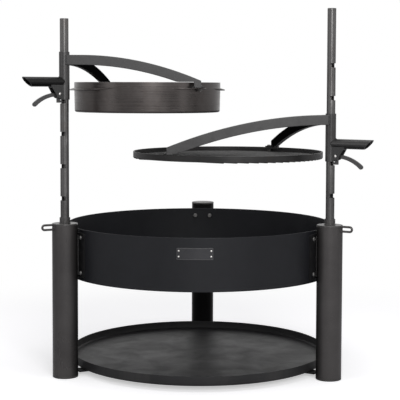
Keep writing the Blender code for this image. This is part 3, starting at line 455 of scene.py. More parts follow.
class Graph:
    """Short names for the nodes of one material."""

    def __init__(self, name):
        self.material = bpy.data.materials.new(name)
        self.material.use_nodes = True
        self.tree = self.material.node_tree
        self.shader = self.tree.nodes["Principled BSDF"]
        self.place = self.node("ShaderNodeTexCoord").outputs["Object"]

    def node(self, kind, **settings):
        item = self.tree.nodes.new(kind)
        for key, value in settings.items():
            setattr(item, key, value)
        return item

    def link(self, source, target):
        self.tree.links.new(source, target)

    def mapped(self, stretch, turn=0.0, middle=(0, 0, 0)):
        """Stretch the object's coordinates, about a point and along a direction."""
        source = self.place
        if any(middle):
            moved = self.node("ShaderNodeVectorMath", operation="SUBTRACT")
            moved.inputs[1].default_value = middle
            self.link(source, moved.inputs[0])
            source = moved.outputs[0]
        if turn:
            turned = self.node("ShaderNodeMapping")
            turned.inputs["Rotation"].default_value = (0, 0, math.radians(-turn))
            self.link(source, turned.inputs["Vector"])
            source = turned.outputs[0]
        scaled = self.node("ShaderNodeMapping")
        scaled.inputs["Scale"].default_value = stretch
        self.link(source, scaled.inputs["Vector"])
        return scaled.outputs[0]

    def noise(self, vector, scale, detail=3.0, rough=0.55, distortion=0.0):
        item = self.node("ShaderNodeTexNoise")
        item.inputs["Scale"].default_value = scale
        item.inputs["Detail"].default_value = detail
        item.inputs["Roughness"].default_value = rough
        item.inputs["Distortion"].default_value = distortion
        self.link(vector, item.inputs["Vector"])
        return item.outputs["Fac"]

    def span(self, value, low, high, to_low, to_high, smoothed=False):
        item = self.node("ShaderNodeMapRange")
        if smoothed:
            item.interpolation_type = "SMOOTHSTEP"
        for key, number in (("From Min", low), ("From Max", high), ("To Min", to_low), ("To Max", to_high)):
            item.inputs[key].default_value = number
        self.link(value, item.inputs["Value"])
        return item.outputs["Result"]

    def math(self, operation, one, two):
        item = self.node("ShaderNodeMath", operation=operation)
        self.link(one, item.inputs[0])
        self.link(two, item.inputs[1])
        return item.outputs[0]

    def mix(self, factor, one, two):
        """Mix two colours, each a tuple or a socket."""
        item = self.node("ShaderNodeMix", data_type="RGBA")
        self.link(factor, item.inputs["Factor"])
        for key, source in ((6, one), (7, two)):
            if isinstance(source, tuple):
                item.inputs[key].default_value = (*source, 1.0)
            else:
                self.link(source, item.inputs[key])
        return item.outputs[2]

    def patches(self, color, spread, *noise):
        """Vary a colour in soft patches. The second value is the noise itself."""
        patch = self.noise(self.place, *noise)
        share = self.span(patch, 0.3, 0.7, 0, 1)
        return self.mix(share, times(color, 1 - spread), times(color, 1 + spread)), patch

    def paint_shade_facing(self, color, toward, low, high, strength, metallic, spec):
        """Paint shade on the faces that look in one direction, blackening their colour and dulling their
        shine.
        """
        facing = self.node("ShaderNodeVectorMath", operation="DOT_PRODUCT")
        facing.inputs[1].default_value = toward
        self.link(self.node("ShaderNodeTexCoord").outputs["Normal"], facing.inputs[0])
        painted_shade = self.span(facing.outputs["Value"], low, high, 0, strength, True)
        self.link(self.span(painted_shade, 0, 1, metallic, 0.0), self.shader.inputs["Metallic"])
        self.link(self.span(painted_shade, 0, 1, spec, 0.0), self.shader.inputs["Specular IOR Level"])
        return self.mix(painted_shade, color, PAINTED_SHADE_BLACK)

    def bump(self, *layers):
        """Stack bumps from (height, strength, distance)."""
        last = None
        for height, strength, distance in layers:
            item = self.node("ShaderNodeBump")
            item.inputs["Strength"].default_value = strength
            item.inputs["Distance"].default_value = distance
            self.link(height, item.inputs["Height"])
            if last:
                self.link(last, item.inputs["Normal"])
            last = item.outputs["Normal"]
        self.link(last, self.shader.inputs["Normal"])

    def shine(self, metallic, spec):
        self.shader.inputs["Metallic"].default_value = metallic
        self.shader.inputs["Specular IOR Level"].default_value = spec

    def mixed_shader(self, factor, one, two):
        item = self.node("ShaderNodeMixShader")
        for index, source in enumerate((factor, one, two)):
            self.link(source, item.inputs[index])
        return item.outputs[0]

    def glow(self, strength):
        item = self.node("ShaderNodeEmission")
        item.inputs["Color"].default_value = (1, 1, 1, 1)
        item.inputs["Strength"].default_value = strength
        return item.outputs[0]


def paint(name, color, rough, metallic=0.0, spread=0.25, dust=0.0, dust_color=None, wear=0.0, grain=900.0,
          coarse=0.25, spec=0.5, shade_toward=None):
    """Heat proof satin paint with fine grain, uneven gloss, dust and rubbed edges, and painted shade that
    blackens the faces looking in the given direction.
    """
    graph = Graph(name)
    graph.shine(metallic, spec)
    color_out, _ = graph.patches(color, spread, 7.0, 5.0, 0.6, 0.4)
    grains = graph.noise(graph.place, grain, 2.0)
    speck = graph.span(graph.noise(graph.place, grain * 0.45, 1.0), 0.68, 0.76, 0, 0.5, True)
    color_out = graph.mix(speck, color_out, times(color, 1.9))
    if dust:
        film = graph.noise(graph.mapped((3, 3, 1.3)), 2.2, 6.0, 0.62, 0.8)
        color_out = graph.mix(graph.span(film, 0.42, 0.75, 0, dust, True), color_out, dust_color)
    if wear:
        edge = graph.node("ShaderNodeNewGeometry").outputs["Pointiness"]
        broken = graph.span(graph.noise(graph.place, 60, 4.0), 0.4, 0.62, 0.15, 1)
        worn = graph.math("MULTIPLY", graph.span(edge, 0.54, 0.66, 0, wear), broken)
        color_out = graph.mix(worn, color_out, BARE_EDGE)
    # Painted shade: blacken and dull the faces that look in the given direction.
    if shade_toward:
        color_out = graph.paint_shade_facing(color_out, shade_toward, -0.12, 0.75, 0.88, metallic, spec)
    graph.link(color_out, graph.shader.inputs["Base Color"])
    gloss = graph.noise(graph.mapped((1, 1, 0.5)), 11.0, 5.0, 0.6, 0.6)
    graph.link(graph.span(gloss, 0.3, 0.7, rough - 0.07, rough + 0.09), graph.shader.inputs["Roughness"])
    dents = graph.noise(graph.place, grain * 0.12, 3.0)
    graph.bump((grains, coarse, 0.00025), (dents, coarse * 0.7, 0.0006))
    return graph.material


def steel(name, color, rough, stretch, turn=0.0, middle=(0, 0, 0), metallic=1.0, spread=0.2, grain=0.22,
          stain=None, stain_amount=0.0, scratch=0.3, pitting=500.0, spec=0.5, shade_toward=None):
    """Oiled steel with grain along one direction, stains and scratches, and painted shade that blackens the
    faces looking in the given direction.
    """
    graph = Graph(name)
    graph.shine(metallic, spec)
    lines = graph.noise(graph.mapped(stretch, turn, middle), 1.0, 4.0, 0.65)
    color_out, patch = graph.patches(color, spread, 9.0, 5.0, 0.6, 0.5)
    color_out = graph.mix(graph.span(lines, 0.35, 0.7, 0, grain), color_out, times(color, 2.1))
    if stain:
        where = graph.span(graph.noise(graph.place, 16.0, 6.0, 0.65, 1.2), 0.5, 0.7, 0, stain_amount, True)
        color_out = graph.mix(where, color_out, stain)
    across = (stretch[0] * 0.5 + 40, stretch[1] * 0.5 + 9, stretch[2] * 0.5 + 15)
    scratches = graph.noise(graph.mapped(across, turn + 17, middle), 1.0, 1.0)
    color_out = graph.mix(graph.span(scratches, 0.72, 0.75, 0, scratch), color_out, times(color, 2.6))
    # Painted shade: blacken and dull the faces that look in the given direction.
    if shade_toward:
        color_out = graph.paint_shade_facing(color_out, shade_toward, 0.45, 0.85, 1.0, metallic, spec)
    graph.link(color_out, graph.shader.inputs["Base Color"])
    gloss = graph.math("ADD", graph.span(lines, 0.3, 0.7, -0.05, 0.06),
                       graph.span(patch, 0.3, 0.7, rough - 0.05, rough + 0.07))
    graph.link(gloss, graph.shader.inputs["Roughness"])
    graph.bump((lines, 0.12, 0.0003), (graph.noise(graph.place, pitting, 2.0), 0.10, 0.0002))
    return graph.material


ROUND = (240, 240, 3)
EVEN = (300, 300, 300)
FINISHES = {
    "bowl": paint("bowl_paint", (0.0088, 0.0092, 0.0112), 0.48, spread=0.16, dust=0.10,
                  dust_color=(0.028, 0.028, 0.031), wear=0.3, spec=0.20),
    "inside": paint("bowl_inside_paint", (0.0225, 0.0225, 0.0250), 0.66, spread=0.3, dust=0.35,
                    dust_color=(0.065, 0.062, 0.060), wear=0.1, grain=500, coarse=0.4),
    "plate": paint("plate_paint", (0.026, 0.026, 0.029), 0.36, metallic=0.45, spread=0.10, wear=0.1),
    # The frame strips are painted lighter than the plate they stand on: a painted highlight along the plate's
    # edges.
    "frame": paint("plate_frame_painted_highlight", (0.060, 0.060, 0.062), 0.36, metallic=0.45, spread=0.10),
    "tray": paint("tray_paint", (0.015, 0.0147, 0.0157), 0.50, spread=0.2, dust=0.30,
                  dust_color=(0.058, 0.055, 0.052), wear=0.3, spec=0.25),
    "eye": paint("eye_paint", (0.058, 0.0545, 0.0540), 0.31, metallic=0.55, spread=0.14, dust=0.08,
                 dust_color=(0.10, 0.095, 0.09), wear=0.4),
    "cap": paint("cap_paint", (0.060, 0.0575, 0.0565), 0.36, metallic=0.45, spread=0.16, dust=0.2,
                 dust_color=(0.16, 0.15, 0.145), wear=0.6),
    "foot": paint("foot_paint", (0.030, 0.029, 0.029), 0.5, metallic=0.2, spread=0.2, dust=0.35,
                  dust_color=(0.11, 0.10, 0.09), wear=0.6),
    "bracket": paint("bracket_paint", (0.0065, 0.0065, 0.0072), 0.52, spread=0.2, dust=0.1,
                     dust_color=(0.03, 0.03, 0.03), wear=0.2, spec=0.15),
    "weld": paint("weld_paint", (0.028, 0.027, 0.027), 0.42, metallic=0.3, spread=0.3, dust=0.1,
                  dust_color=(0.09, 0.085, 0.08), wear=0.6, grain=700),
    "bolt": steel("bolt_steel", (0.42, 0.41, 0.40), 0.30, EVEN, spread=0.15, stain=(0.12, 0.09, 0.07),
                  stain_amount=0.4),
    "dull_bolt": steel("dull_bolt_steel", (0.125, 0.122, 0.120), 0.42, EVEN, metallic=0.8, spread=0.15),
    "black_bolt": steel("black_bolt_steel", (0.06, 0.058, 0.057), 0.38, EVEN, metallic=0.6, spread=0.15),
    "spring": steel("spring_steel", (0.30, 0.30, 0.30), 0.32, (400, 400, 400), spread=0.1),
    "post": steel("post_steel", (0.086, 0.084, 0.083), 0.32, ROUND, metallic=0.85, spread=0.22,
                  stain=(0.09, 0.08, 0.075), stain_amount=0.45, scratch=0.5),
    "sleeve": steel("sleeve_steel", (0.046, 0.045, 0.045), 0.34, ROUND, metallic=0.6,
                    stain=(0.04, 0.035, 0.032), stain_amount=0.4),
    "latch": steel("latch_steel", (0.034, 0.034, 0.034), 0.40, (60, 60, 60), metallic=0.6),
    "lever": steel("lever_steel", (0.056, 0.055, 0.055), 0.36, (60, 60, 120), metallic=0.6),
    "pan": steel("pan_steel", (0.059, 0.0522, 0.0500), 0.30, (2.5, 2.5, 420), metallic=0.75, spread=0.22,
                 grain=0.25, stain=(0.055, 0.045, 0.040), stain_amount=0.45, scratch=0.35, pitting=350),
    "grate": steel("grate_steel", (0.026, 0.0254, 0.0254), 0.38, (8, 8, 260), metallic=0.4, spread=0.3,
                   grain=0.25, stain=(0.035, 0.030, 0.027), stain_amount=0.5, scratch=0.4, spec=0.2),
}


def add_side_finishes(name, arm_color, grip_color, grip_metallic, grip_spec):
    """Add the finishes of one side's arms and handle, whose grain follows the arms' direction."""
    lie = {"turn": SIDES[name]["turn"], "middle": tuple(POST_AT[name].translation)}
    for hand in ("near", "far"):
        matrix, sign = arm_place(name, hand)
        # Painted shade on each arm's inner side, which faces away from the light, so each arm gets a finish
        # of its own.
        inwards = tuple(matrix.to_3x3() @ Vector((0, -sign, 0)))
        key = f"{name}_arm_{hand}"
        FINISHES[key] = steel(key + "_steel", arm_color, 0.42, (5, 260, 260), metallic=0.45, spread=0.36,
                              grain=0.34, stain=times(arm_color, 0.7), stain_amount=0.5, scratch=0.35,
                              shade_toward=inwards, **lie)
    key = name + "_handle"
    FINISHES[key] = steel(key + "_steel", grip_color, 0.30, (4, 240, 240), metallic=grip_metallic, grain=0.15,
                          stain=times(grip_color, 1.05), stain_amount=0.3, spec=grip_spec, **lie)


# The left handle gets a darker colour and duller shine than the right: painted shade for the way it faces the
# light, on the same steel.
add_side_finishes("left", (0.031, 0.0305, 0.0305), (0.006, 0.0059, 0.0059), 0.3, 0.25)
add_side_finishes("right", (0.0355, 0.035, 0.035), (0.033, 0.0325, 0.0325), 0.6, 0.5)
# Each leg gets painted shade on its side towards the bowl's axis, so each leg has a finish of its own.
for leg_name, leg_angle in LEG_ANGLES.items():
    FINISHES["leg_" + leg_name] = paint("leg_paint_" + leg_name, (0.062, 0.0582, 0.0575), 0.31, metallic=0.35,
                                        spread=0.16, dust=0.08, dust_color=(0.10, 0.095, 0.09), wear=0.4,
                                        spec=0.2, shade_toward=tuple(-on_circle(1, leg_angle)))


# Stand
def bolt(shape, grip, matrix):
    """Add a dome headed bolt with a socket in its head, and a six sided nut."""
    head = rounded([*BOLT_HEAD, (BOLT_RADIUS, FIT)], 0.0004, 2)
    end = -grip - NUT_HEIGHT - 0.002
    lathe(shape, head + [(BOLT_RADIUS, end), (0.0034, end + 0.00005), (0, end + 0.00005)], 24, matrix)
    nut = [(BOLT_RADIUS, -grip), (NUT_RADIUS, -grip), (NUT_RADIUS, -grip - NUT_HEIGHT + 0.0006),
           (NUT_RADIUS - 0.0008, -grip - NUT_HEIGHT), (BOLT_RADIUS, -grip - NUT_HEIGHT)]
    lathe(shape, nut, 6, matrix, loop=True)


def make_bowl():
    wall = ring_wall(BOWL_RADIUS, BOWL_INNER, BOWL_BASE_Z, BOWL_RIM_Z, RIM_EDGE, 4)
    fine("bowl_wall", lambda shape: lathe(shape, wall, BOWL_STEPS, ROOT, True), FINISHES["bowl"], "stand",
         "bowl_paint")
    shares = [step / 12 for step in range(13)]
    top = [(FLOOR_RADIUS * share, FLOOR_EDGE_Z - FLOOR_DISH * (1 - share ** 2)) for share in shares]
    under = [(radius, height - FLOOR_THICKNESS) for radius, height in reversed(top)]

    def floor(shape):
        lathe(shape, top + under, 144, ROOT)
        ring_bead(shape, FLOOR_RADIUS - 0.0012, FLOOR_EDGE_Z + 0.0005, 0.0016, ROOT)

    fine("bowl_floor", floor, FINISHES["inside"], "stand", "bowl_inside_paint")
    face = BOWL_RADIUS + FIT + PLATE_THICKNESS

    def across_front(run):
        return ROOT @ spin(math.degrees(run / BOWL_RADIUS))

    def strip(shape, low, high, half_width, corner, matrix):
        curved_plate(shape, face - 0.0001, STRIP_THICKNESS, low, high, half_width, corner, 0.0002, matrix)

    def plate(shape):
        curved_plate(shape, BOWL_RADIUS + FIT, PLATE_THICKNESS, PLATE_LOW, PLATE_HIGH, PLATE_HALF_WIDTH,
                     0.0022, 0.0003, ROOT)

    def frame_strips(shape):
        half = PLATE_HALF_WIDTH - 0.001
        for low in (PLATE_LOW + STRIP_INSET, PLATE_HIGH - STRIP_INSET - STRIP_WIDTH):
            strip(shape, low, low + STRIP_WIDTH, half, 0.0006, ROOT)
        for sign in (-1, 1):
            strip(shape, PLATE_LOW + 0.0015, PLATE_HIGH - 0.0015, 0.0006, 0.0003,
                  across_front(sign * (half - STRIP_INSET)))

    def rivets(shape):
        for sign in (-1, 1):
            for height in RIVET_HEIGHTS:
                at = across_front(sign * RIVET_ACROSS) @ shift(0, 0.0002 - face, height) @ spin(90, "X")
                lathe(shape, RIVET, 20, at)

    fine("front_plate", plate, FINISHES["plate"], "stand", "plate_paint")
    piece("front_plate_frame", frame_strips, FINISHES["frame"], "stand", "plate_paint")
    piece("front_plate_rivets", rivets, FINISHES["bolt"], "stand", "bolt_steel")


def make_leg(name, angle):
    at = LEG_AT[name]
    face = ROOT @ spin(angle)
    wall = ring_wall(LEG_RADIUS, LEG_INNER, FOOT_EDGE_Z + FIT, CAP_BASE_Z - FIT, 0.0005)
    fine("leg_tube_" + name, lambda shape: lathe(shape, wall, LEG_STEPS, at, True), FINISHES["leg_" + name],
         "stand", "leg_paint")
    holed = name != "back"
    hole = SOCKET_RADIUS + FIT if holed else 0
    lid = rounded([(LEG_RADIUS, CAP_BASE_Z), (LEG_RADIUS, LEG_HEIGHT), (hole, LEG_HEIGHT),
                   (hole, CAP_BASE_Z)], THICK_EDGE, 4, holed)

    def cap(shape):
        lathe(shape, lid, LEG_STEPS, at, holed)
        ring_bead(shape, LEG_RADIUS - 0.0002, CAP_BASE_Z - 0.0001, 0.00075, at)

    fine("leg_cap_" + name, cap, FINISHES["cap"], "stand", "leg_paint")
    plug = LEG_INNER - FIT
    sole = rounded([(0, FOOT_PLUG_Z), (plug, FOOT_PLUG_Z), (plug, FOOT_EDGE_Z), (LEG_RADIUS, FOOT_EDGE_Z),
                    (LEG_RADIUS, 0), (0, 0)], THICK_EDGE)
    fine("foot_" + name, lambda shape: lathe(shape, sole, LEG_STEPS, at), FINISHES["foot"], "stand",
         "foot_paint")

    def bracket(shape):
        curved_plate(shape, BOWL_RADIUS + FIT, BRACKET_THICKNESS, BRACKET_LOW, BRACKET_HIGH,
                     BRACKET_HALF_WIDTH, 0.006, PLATE_EDGE, face)

    fine("bowl_bracket_" + name, bracket, FINISHES["bracket"], "stand", "bracket_paint")
    tab_out = LEG_CIRCLE - LEG_RADIUS - FIT
    tab_top = TRAY_BASE_Z - FIT

    def seams(shape):
        for across in (-BRACKET_WELD_ACROSS, BRACKET_WELD_ACROSS):
            bead(shape, (across, -BRACKET_WELD_OUT, BRACKET_LOW + 0.006),
                 (across, -BRACKET_WELD_OUT, BRACKET_HIGH - 0.006), 0.0023, face)
        half = TAB_HALF_WIDTH - 0.002
        under = (-tab_out - 0.0005, tab_top + 0.0008)
        bead(shape, (-half, *under), (half, *under), 0.0014, face)

    piece("leg_welds_" + name, seams, FINISHES["weld"], "stand", "leg_paint")
    seat = BOWL_RADIUS + FIT + BRACKET_THICKNESS
    step = math.degrees(BOLT_ACROSS / seat)
    for level, height in BOLT_HEIGHTS.items():
        for hand, sign in (("a", -1), ("b", 1)):
            matrix = ROOT @ spin(angle + sign * step) @ shift(0, -seat, height) @ spin(90, "X")
            fine(f"bowl_bolt_{name}_{level}_{hand}", lambda shape: bolt(shape, BOLT_GRIP, matrix),
                 FINISHES["dull_bolt"], "stand", "bolt_steel")

    def tab(shape):
        slab(shape, (-TAB_HALF_WIDTH, -tab_out, tab_top - TAB_THICKNESS),
             (TAB_HALF_WIDTH, TAB_LENGTH - tab_out, tab_top), PLATE_EDGE, face)

    fine("tray_tab_" + name, tab, FINISHES["bracket"], "stand", "bracket_paint")


def make_tray():
    def from_edge(*steps):
        return [(TRAY_RADIUS - inset, height) for inset, height in steps]

    inner = [(0, TRAY_FLOOR_Z), (0.2, TRAY_FLOOR_Z)] + from_edge(
        (0.011, TRAY_FLOOR_Z), (0.0065, 0.0202), (0.0038, 0.0232), (TRAY_WALL, 0.028))
    lip = rounded(from_edge((TRAY_WALL, 0.036), (TRAY_WALL, TRAY_RIM_Z), (0, TRAY_RIM_Z), (0, 0.036)),
                  RIM_EDGE)
    outer = from_edge((0, 0.030), (0, 0.023), (0.0012, 0.0188), (0.0035, 0.0168), (0.0075, TRAY_BASE_Z))
    profile = inner + lip + outer + [(0, TRAY_BASE_Z)]
    fine("log_tray", lambda shape: lathe(shape, profile, BOWL_STEPS, ROOT), FINISHES["tray"], "stand",
         "tray_paint")


def make_socket(name, leg):
    at = LEG_AT[leg]
    wall = rounded([(0, SOCKET_FLOOR_Z), (BORE_RADIUS, SOCKET_FLOOR_Z), (BORE_RADIUS, SOCKET_TOP_Z),
                    (SOCKET_RADIUS, SOCKET_TOP_Z), (SOCKET_RADIUS, SOCKET_BASE_Z), (0, SOCKET_BASE_Z)],
                   TUBE_EDGE, 2)

    def socket(shape):
        lathe(shape, wall, POST_STEPS, at)
        ring_bead(shape, SOCKET_RADIUS + 0.0006, LEG_HEIGHT + 0.0006, 0.0013, at)

    fine("post_socket_" + name, socket, FINISHES["cap"], "stand", "post_steel")
    high = LEG_HEIGHT - 0.0035
    low = high - 2 * EYE_BEND
    bend_at = LEG_RADIUS + EYE_REACH - EYE_WIRE - EYE_BEND
    runs = [LEG_RADIUS - 0.001 + 0.004 * step for step in range(7)]
    swings = [math.pi * step / 16 for step in range(17)]
    points = [(run, 0, high) for run in runs]
    points += [(bend_at + EYE_BEND * math.sin(swing), 0, high - EYE_BEND + EYE_BEND * math.cos(swing))
               for swing in swings]
    points += [(run, 0, low) for run in reversed(runs)]
    outwards = at @ spin(LEG_ANGLES[leg] - 90)

    def eye(shape):
        tube(shape, points, EYE_WIRE, 20, outwards)
        for height in (high, low):
            root = outwards @ shift(LEG_RADIUS + 0.0006, 0, height) @ spin(90, "Y")
            ring_bead(shape, 0.0034, 0.0, 0.0010, root)

    fine("tool_eye_" + name, eye, FINISHES["eye"], "stand", "leg_paint")


# Posts and carriages
def make_post(name, side):
    at = POST_AT[name]
    top = side["top"]
    base = SOCKET_FLOOR_Z + FIT
    line = rounded([(0, top), (POST_RADIUS, top), (POST_RADIUS, base), (POST_INNER, base),
                    (POST_INNER, top - POST_LID), (0, top - POST_LID)], THICK_EDGE)
    item = fine(name + "_post", lambda shape: lathe(shape, line, POST_STEPS, at), FINISHES["post"],
                name + "_post", "post_steel")

    def notches(shape):
        for step in range(NOTCH_COUNT):
            height = side["notch"] + step * NOTCH_PITCH
            slab(shape, (-POST_RADIUS - 0.004, -0.025, height - NOTCH_HALF_HEIGHT),
                 (-NOTCH_FACE, 0.025, height + NOTCH_HALF_HEIGHT), TUBE_EDGE, at)

    cut(item, notches, 0.0004)


def make_sleeve(name, side):
    low = side["base"]
    wall = ring_wall(SLEEVE_RADIUS, BORE_RADIUS, low, low + SLEEVE_LENGTH, TUBE_EDGE, 3)
    fine(name + "_sleeve", lambda shape: lathe(shape, wall, POST_STEPS, POST_AT[name], True),
         FINISHES["sleeve"], name + "_carriage", "sleeve_steel")


def arm_line(side, length, middle_z, seat, foot_from, least):
    """Return the outline of an arm, which curves down from its root and stands on a foot.

    Its underside stays above least as far as foot_from, where the foot begins.
    """
    radius = (length - side["straight"]) ** 2 / (2 * (middle_z - seat - ARM_HEIGHT / 2))
    tip = length + ARM_BEYOND
    top = []
    low = []
    for step in range(49):
        run = tip * step / 48
        bend = max(0.0, run - side["straight"])
        middle = middle_z - bend ** 2 / (2 * radius)
        upright = ARM_HEIGHT / 2 * math.sqrt(1 + (bend / radius) ** 2)
        top.append((run, middle + upright))
        if run < foot_from - 0.002:
            low.append((run, max(middle - upright, least)))
    low += [(foot_from, low[-1][1]), (foot_from, seat), (tip, seat)]
    return low + top[::-1]


def make_arms(name, side):
    at = POST_AT[name]
    body = name + "_carriage"
    reach = side["reach"]
    seat = side["base"] + side["seat"]
    middle_z = side["base"] + SLEEVE_LENGTH - side["drop"] - ARM_HEIGHT / 2
    low = middle_z - ARM_HEIGHT / 2 + 0.001
    high = middle_z + ARM_HEIGHT / 2 - 0.001
    length = math.hypot(reach, side["foot_radius"] - ARM_ROOT)
    foot_from = length - 0.010
    least = seat
    if name == "left":
        swing = math.atan2(side["foot_radius"] - ARM_ROOT, reach)
        along = reach * math.cos(swing) - ARM_ROOT * math.sin(swing)
        aside = reach * math.sin(swing) + ARM_ROOT * math.cos(swing) - ARM_THICKNESS / 2
        foot_from = along + math.sqrt(PAN_RADIUS ** 2 - aside ** 2) + 0.006
        least = side["base"] + PAN_RIM_UP + 0.001
    line = arm_line(side, length, middle_z, seat, foot_from, least)
    saddle = [(radius, middle_z + up) for radius, up in
              ((0, -0.03), (ARM_SADDLE, -0.03), (ARM_SADDLE, 0.03), (0, 0.03))]
    for hand in ("near", "far"):
        matrix, sign = arm_place(name, hand)
        across = sign * side["foot_radius"]
        finish = FINISHES[f"{name}_arm_{hand}"]

        def plate(shape):
            cutout(shape, line, ARM_THICKNESS / 2, THICK_EDGE, matrix)

        arm = fine(f"{name}_arm_{hand}", plate, finish, body, "arm_steel")
        cut(arm, lambda shape: lathe(shape, saddle, POST_STEPS, at))

        def foot(shape):
            slab(shape, (reach + PAD_FROM, across - PAD_HALF_WIDTH, seat),
                 (reach + PAD_TO, across + PAD_HALF_WIDTH, seat + PAD_THICKNESS), PLATE_EDGE, at)
            for x, y in ARM_WELDS:
                bead(shape, (x, sign * y, low), (x, sign * y, high), 0.0024, at)

        piece(f"{name}_arm_foot_{hand}", foot, finish, body, "arm_steel")
        grip = PAD_THICKNESS + side["held"] + 2 * FIT
        bolt_at = at @ shift(reach + PAD_BOLT, across, seat + PAD_THICKNESS)
        fine(f"{name}_foot_bolt_{hand}", lambda shape: bolt(shape, grip, bolt_at), FINISHES["black_bolt"],
             body, "bolt_steel")


def make_handle(name, side):
    at = POST_AT[name] @ shift(0, 0, side["base"] + HANDLE_UP)

    def root(radius, hug, gap, steps):
        """Return a circle laid on the sleeve's side."""
        return [(-math.sqrt(max(0, hug ** 2 - y ** 2)) - gap, y, z) for z, y in circle(radius, steps)]

    def end(radius, inset=0.0):
        """Return a circle on the handle's slanting end."""
        return [(HANDLE_RADIUS - HANDLE_REACH - z + inset, y, z) for z, y in circle(radius, POST_STEPS)]

    def handle(shape):
        hug = SLEEVE_RADIUS + FIT
        inner = root(HANDLE_BORE, hug, 0, POST_STEPS)
        loops = [inner, root(HANDLE_RADIUS, hug, 0, POST_STEPS), end(HANDLE_RADIUS, 0.0010),
                 end(HANDLE_RADIUS - 0.0003, 0.0003), end(HANDLE_RADIUS - 0.0009), end(HANDLE_BORE + 0.0006),
                 end(HANDLE_BORE, 0.0006), inner]
        loft(shape, loops, at, caps=False)

    fine(name + "_handle", handle, FINISHES[name + "_handle"], name + "_carriage", "handle_paint")

    def weld(shape):
        points = root(HANDLE_RADIUS + 0.0009, 0.0160, 0.0002, 72)
        tube(shape, points + points[:1], 0.0014, 8, at, 0.16)

    piece(name + "_handle_weld", weld, FINISHES["sleeve"], name + "_carriage", "sleeve_steel")


def make_latch(name, side):
    at = POST_AT[name] @ shift(-PIVOT_REACH, 0, side["base"] + PIVOT_UP)
    upright = spin(-90, "X")
    carriage = name + "_carriage"
    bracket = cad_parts[name + "_latch_bracket"]
    bracket.data.materials.clear()
    bracket.data.materials.append(FINISHES["latch"])
    soften(bracket, 0.0005, 50)

    def bent(run, out, along=0.0):
        """Return a point beside the lever's bent middle line, or beyond its end."""
        angle = run / LEVER_BEND
        x = -LEVER_BEND * math.sin(angle) - along * math.cos(angle) - out * math.sin(angle)
        return x, LEVER_BEND * (math.cos(angle) - 1) - along * math.sin(angle) + out * math.cos(angle)

    top = []
    low = []
    for step in range(25):
        share = step / 24
        half = (0.0095 - 0.0015 * share) / 2
        top.append(bent(LEVER_LENGTH * share, half))
        low.append(bent(LEVER_LENGTH * share, -half - 0.0016 - 0.0030 * share ** 2))
    tip = []
    for step in range(1, 12):
        swing = math.pi * step / 12
        tip.append(bent(LEVER_LENGTH, LEVER_TIP * math.cos(swing) - 0.0023, LEVER_TIP * math.sin(swing)))
    outline = top + tip + low[::-1]
    front = PIVOT_REACH - SLEEVE_RADIUS - 0.0013
    end = PIVOT_REACH - POST_RADIUS + PAWL_DEPTH
    step_z = PAWL_NOSE + PAWL_HEIGHT
    pawl = rounded([(-0.0035, 0), (-0.0035, PAWL_NOSE), (end, PAWL_NOSE), (end, step_z), (front, step_z),
                    (front, 0)], PLATE_EDGE, 2, True)
    barrel = rounded([(0.0028, 0), (0.0052, 0), (0.0052, 0.0113), (0.0028, 0.0113)], 0.0005, 2, True)

    def lever(shape):
        cutout(shape, outline, 0.0035, 0.0009, at)
        cutout(shape, pawl, 0.00333, 0.0004, at)
        lathe(shape, barrel, 32, at @ shift(0, -0.0084, 0) @ upright, True)

    fine(name + "_latch_lever", lever, FINISHES["lever"], name + "_latch", "handle_paint")
    pin = [*PIN, *((radius, -height) for radius, height in reversed(PIN))]
    fine(name + "_latch_pin", lambda shape: lathe(shape, pin, 28, at @ upright), FINISHES["bolt"], carriage,
         "bolt_steel")
    coil = [(SPRING_RADIUS, SPRING_FROM, -0.010), (SPRING_RADIUS, SPRING_FROM, -0.004)]
    for step in range(73):
        swing = 2 * math.pi * step / 24
        coil.append((SPRING_RADIUS * math.cos(swing), SPRING_FROM + SPRING_PITCH * step / 24,
                     SPRING_RADIUS * math.sin(swing)))
    spring_to = SPRING_FROM + 3 * SPRING_PITCH
    coil += [(SPRING_RADIUS, spring_to, 0.004), (SPRING_RADIUS, spring_to, 0.010)]
    fine(name + "_latch_spring", lambda shape: tube(shape, coil, 0.0006, 10, at), FINISHES["spring"],
         carriage, "spring_steel")


def make_pan():
    at = POST_AT["left"] @ shift(PAN_REACH, 0, SIDES["left"]["base"])
    rim = PAN_RIM_UP
    low = rim - PAN_DEPTH
    floor = low + PAN_SHEET
    flange = rim - FLANGE_DROP
    inside = rounded([(0.2, floor), (PAN_INNER - 0.0015, floor), (PAN_INNER, rim)], 0.007, 5)[1:-1]
    lip = rounded([(PAN_INNER - 0.0001, rim - 0.006), (PAN_INNER, rim), (PAN_RADIUS, rim),
                   (PAN_RADIUS, rim - 0.006)], 0.0013)[1:-1]
    under = rounded([(PAN_RADIUS, flange - 0.001), (PAN_RADIUS - 0.0004, flange - 0.02),
                     (PAN_RADIUS - 0.0015, low), (0.1, low)], 0.0065, 5)
    profile = [(0, floor), (0.1, floor)] + inside + lip + under + [(0, low)]
    root = PAN_RADIUS - 0.001
    least = PAN_RADIUS + 0.0007
    loops = []
    for step in range(240):
        angle = 1.5 * step
        from_ear = abs((angle + EAR_ANGLE + 90) % 180 - 90)
        from_foot = abs(angle % 180 - 90)
        ear = max(0.0, 1 - (from_ear / EAR_HALF_ANGLE) ** 2.2)
        foot = max(0.0, 1 - (from_foot / FOOT_HALF_ANGLE) ** 4)
        wide = least + (FLANGE_RADIUS - least) * max(ear, foot)
        dip = EAR_DIP * ear * (1 - foot)
        edge = min(0.0008, (wide - PAN_RADIUS) / 2)
        section = [(root, 0), (wide - edge, -dip), (wide, -dip - edge), (wide, -dip - PAN_SHEET + edge),
                   (wide - edge, -dip - PAN_SHEET), (root, -PAN_SHEET)]
        loops.append([spin(angle) @ Vector((out, 0, flange + up)) for out, up in section])

    def pan(shape):
        lathe(shape, profile, BOWL_STEPS, at)
        loft(shape, loops + loops[:1], at, caps=False)

    fine("pan", pan, FINISHES["pan"], "left_carriage", "pan_steel")


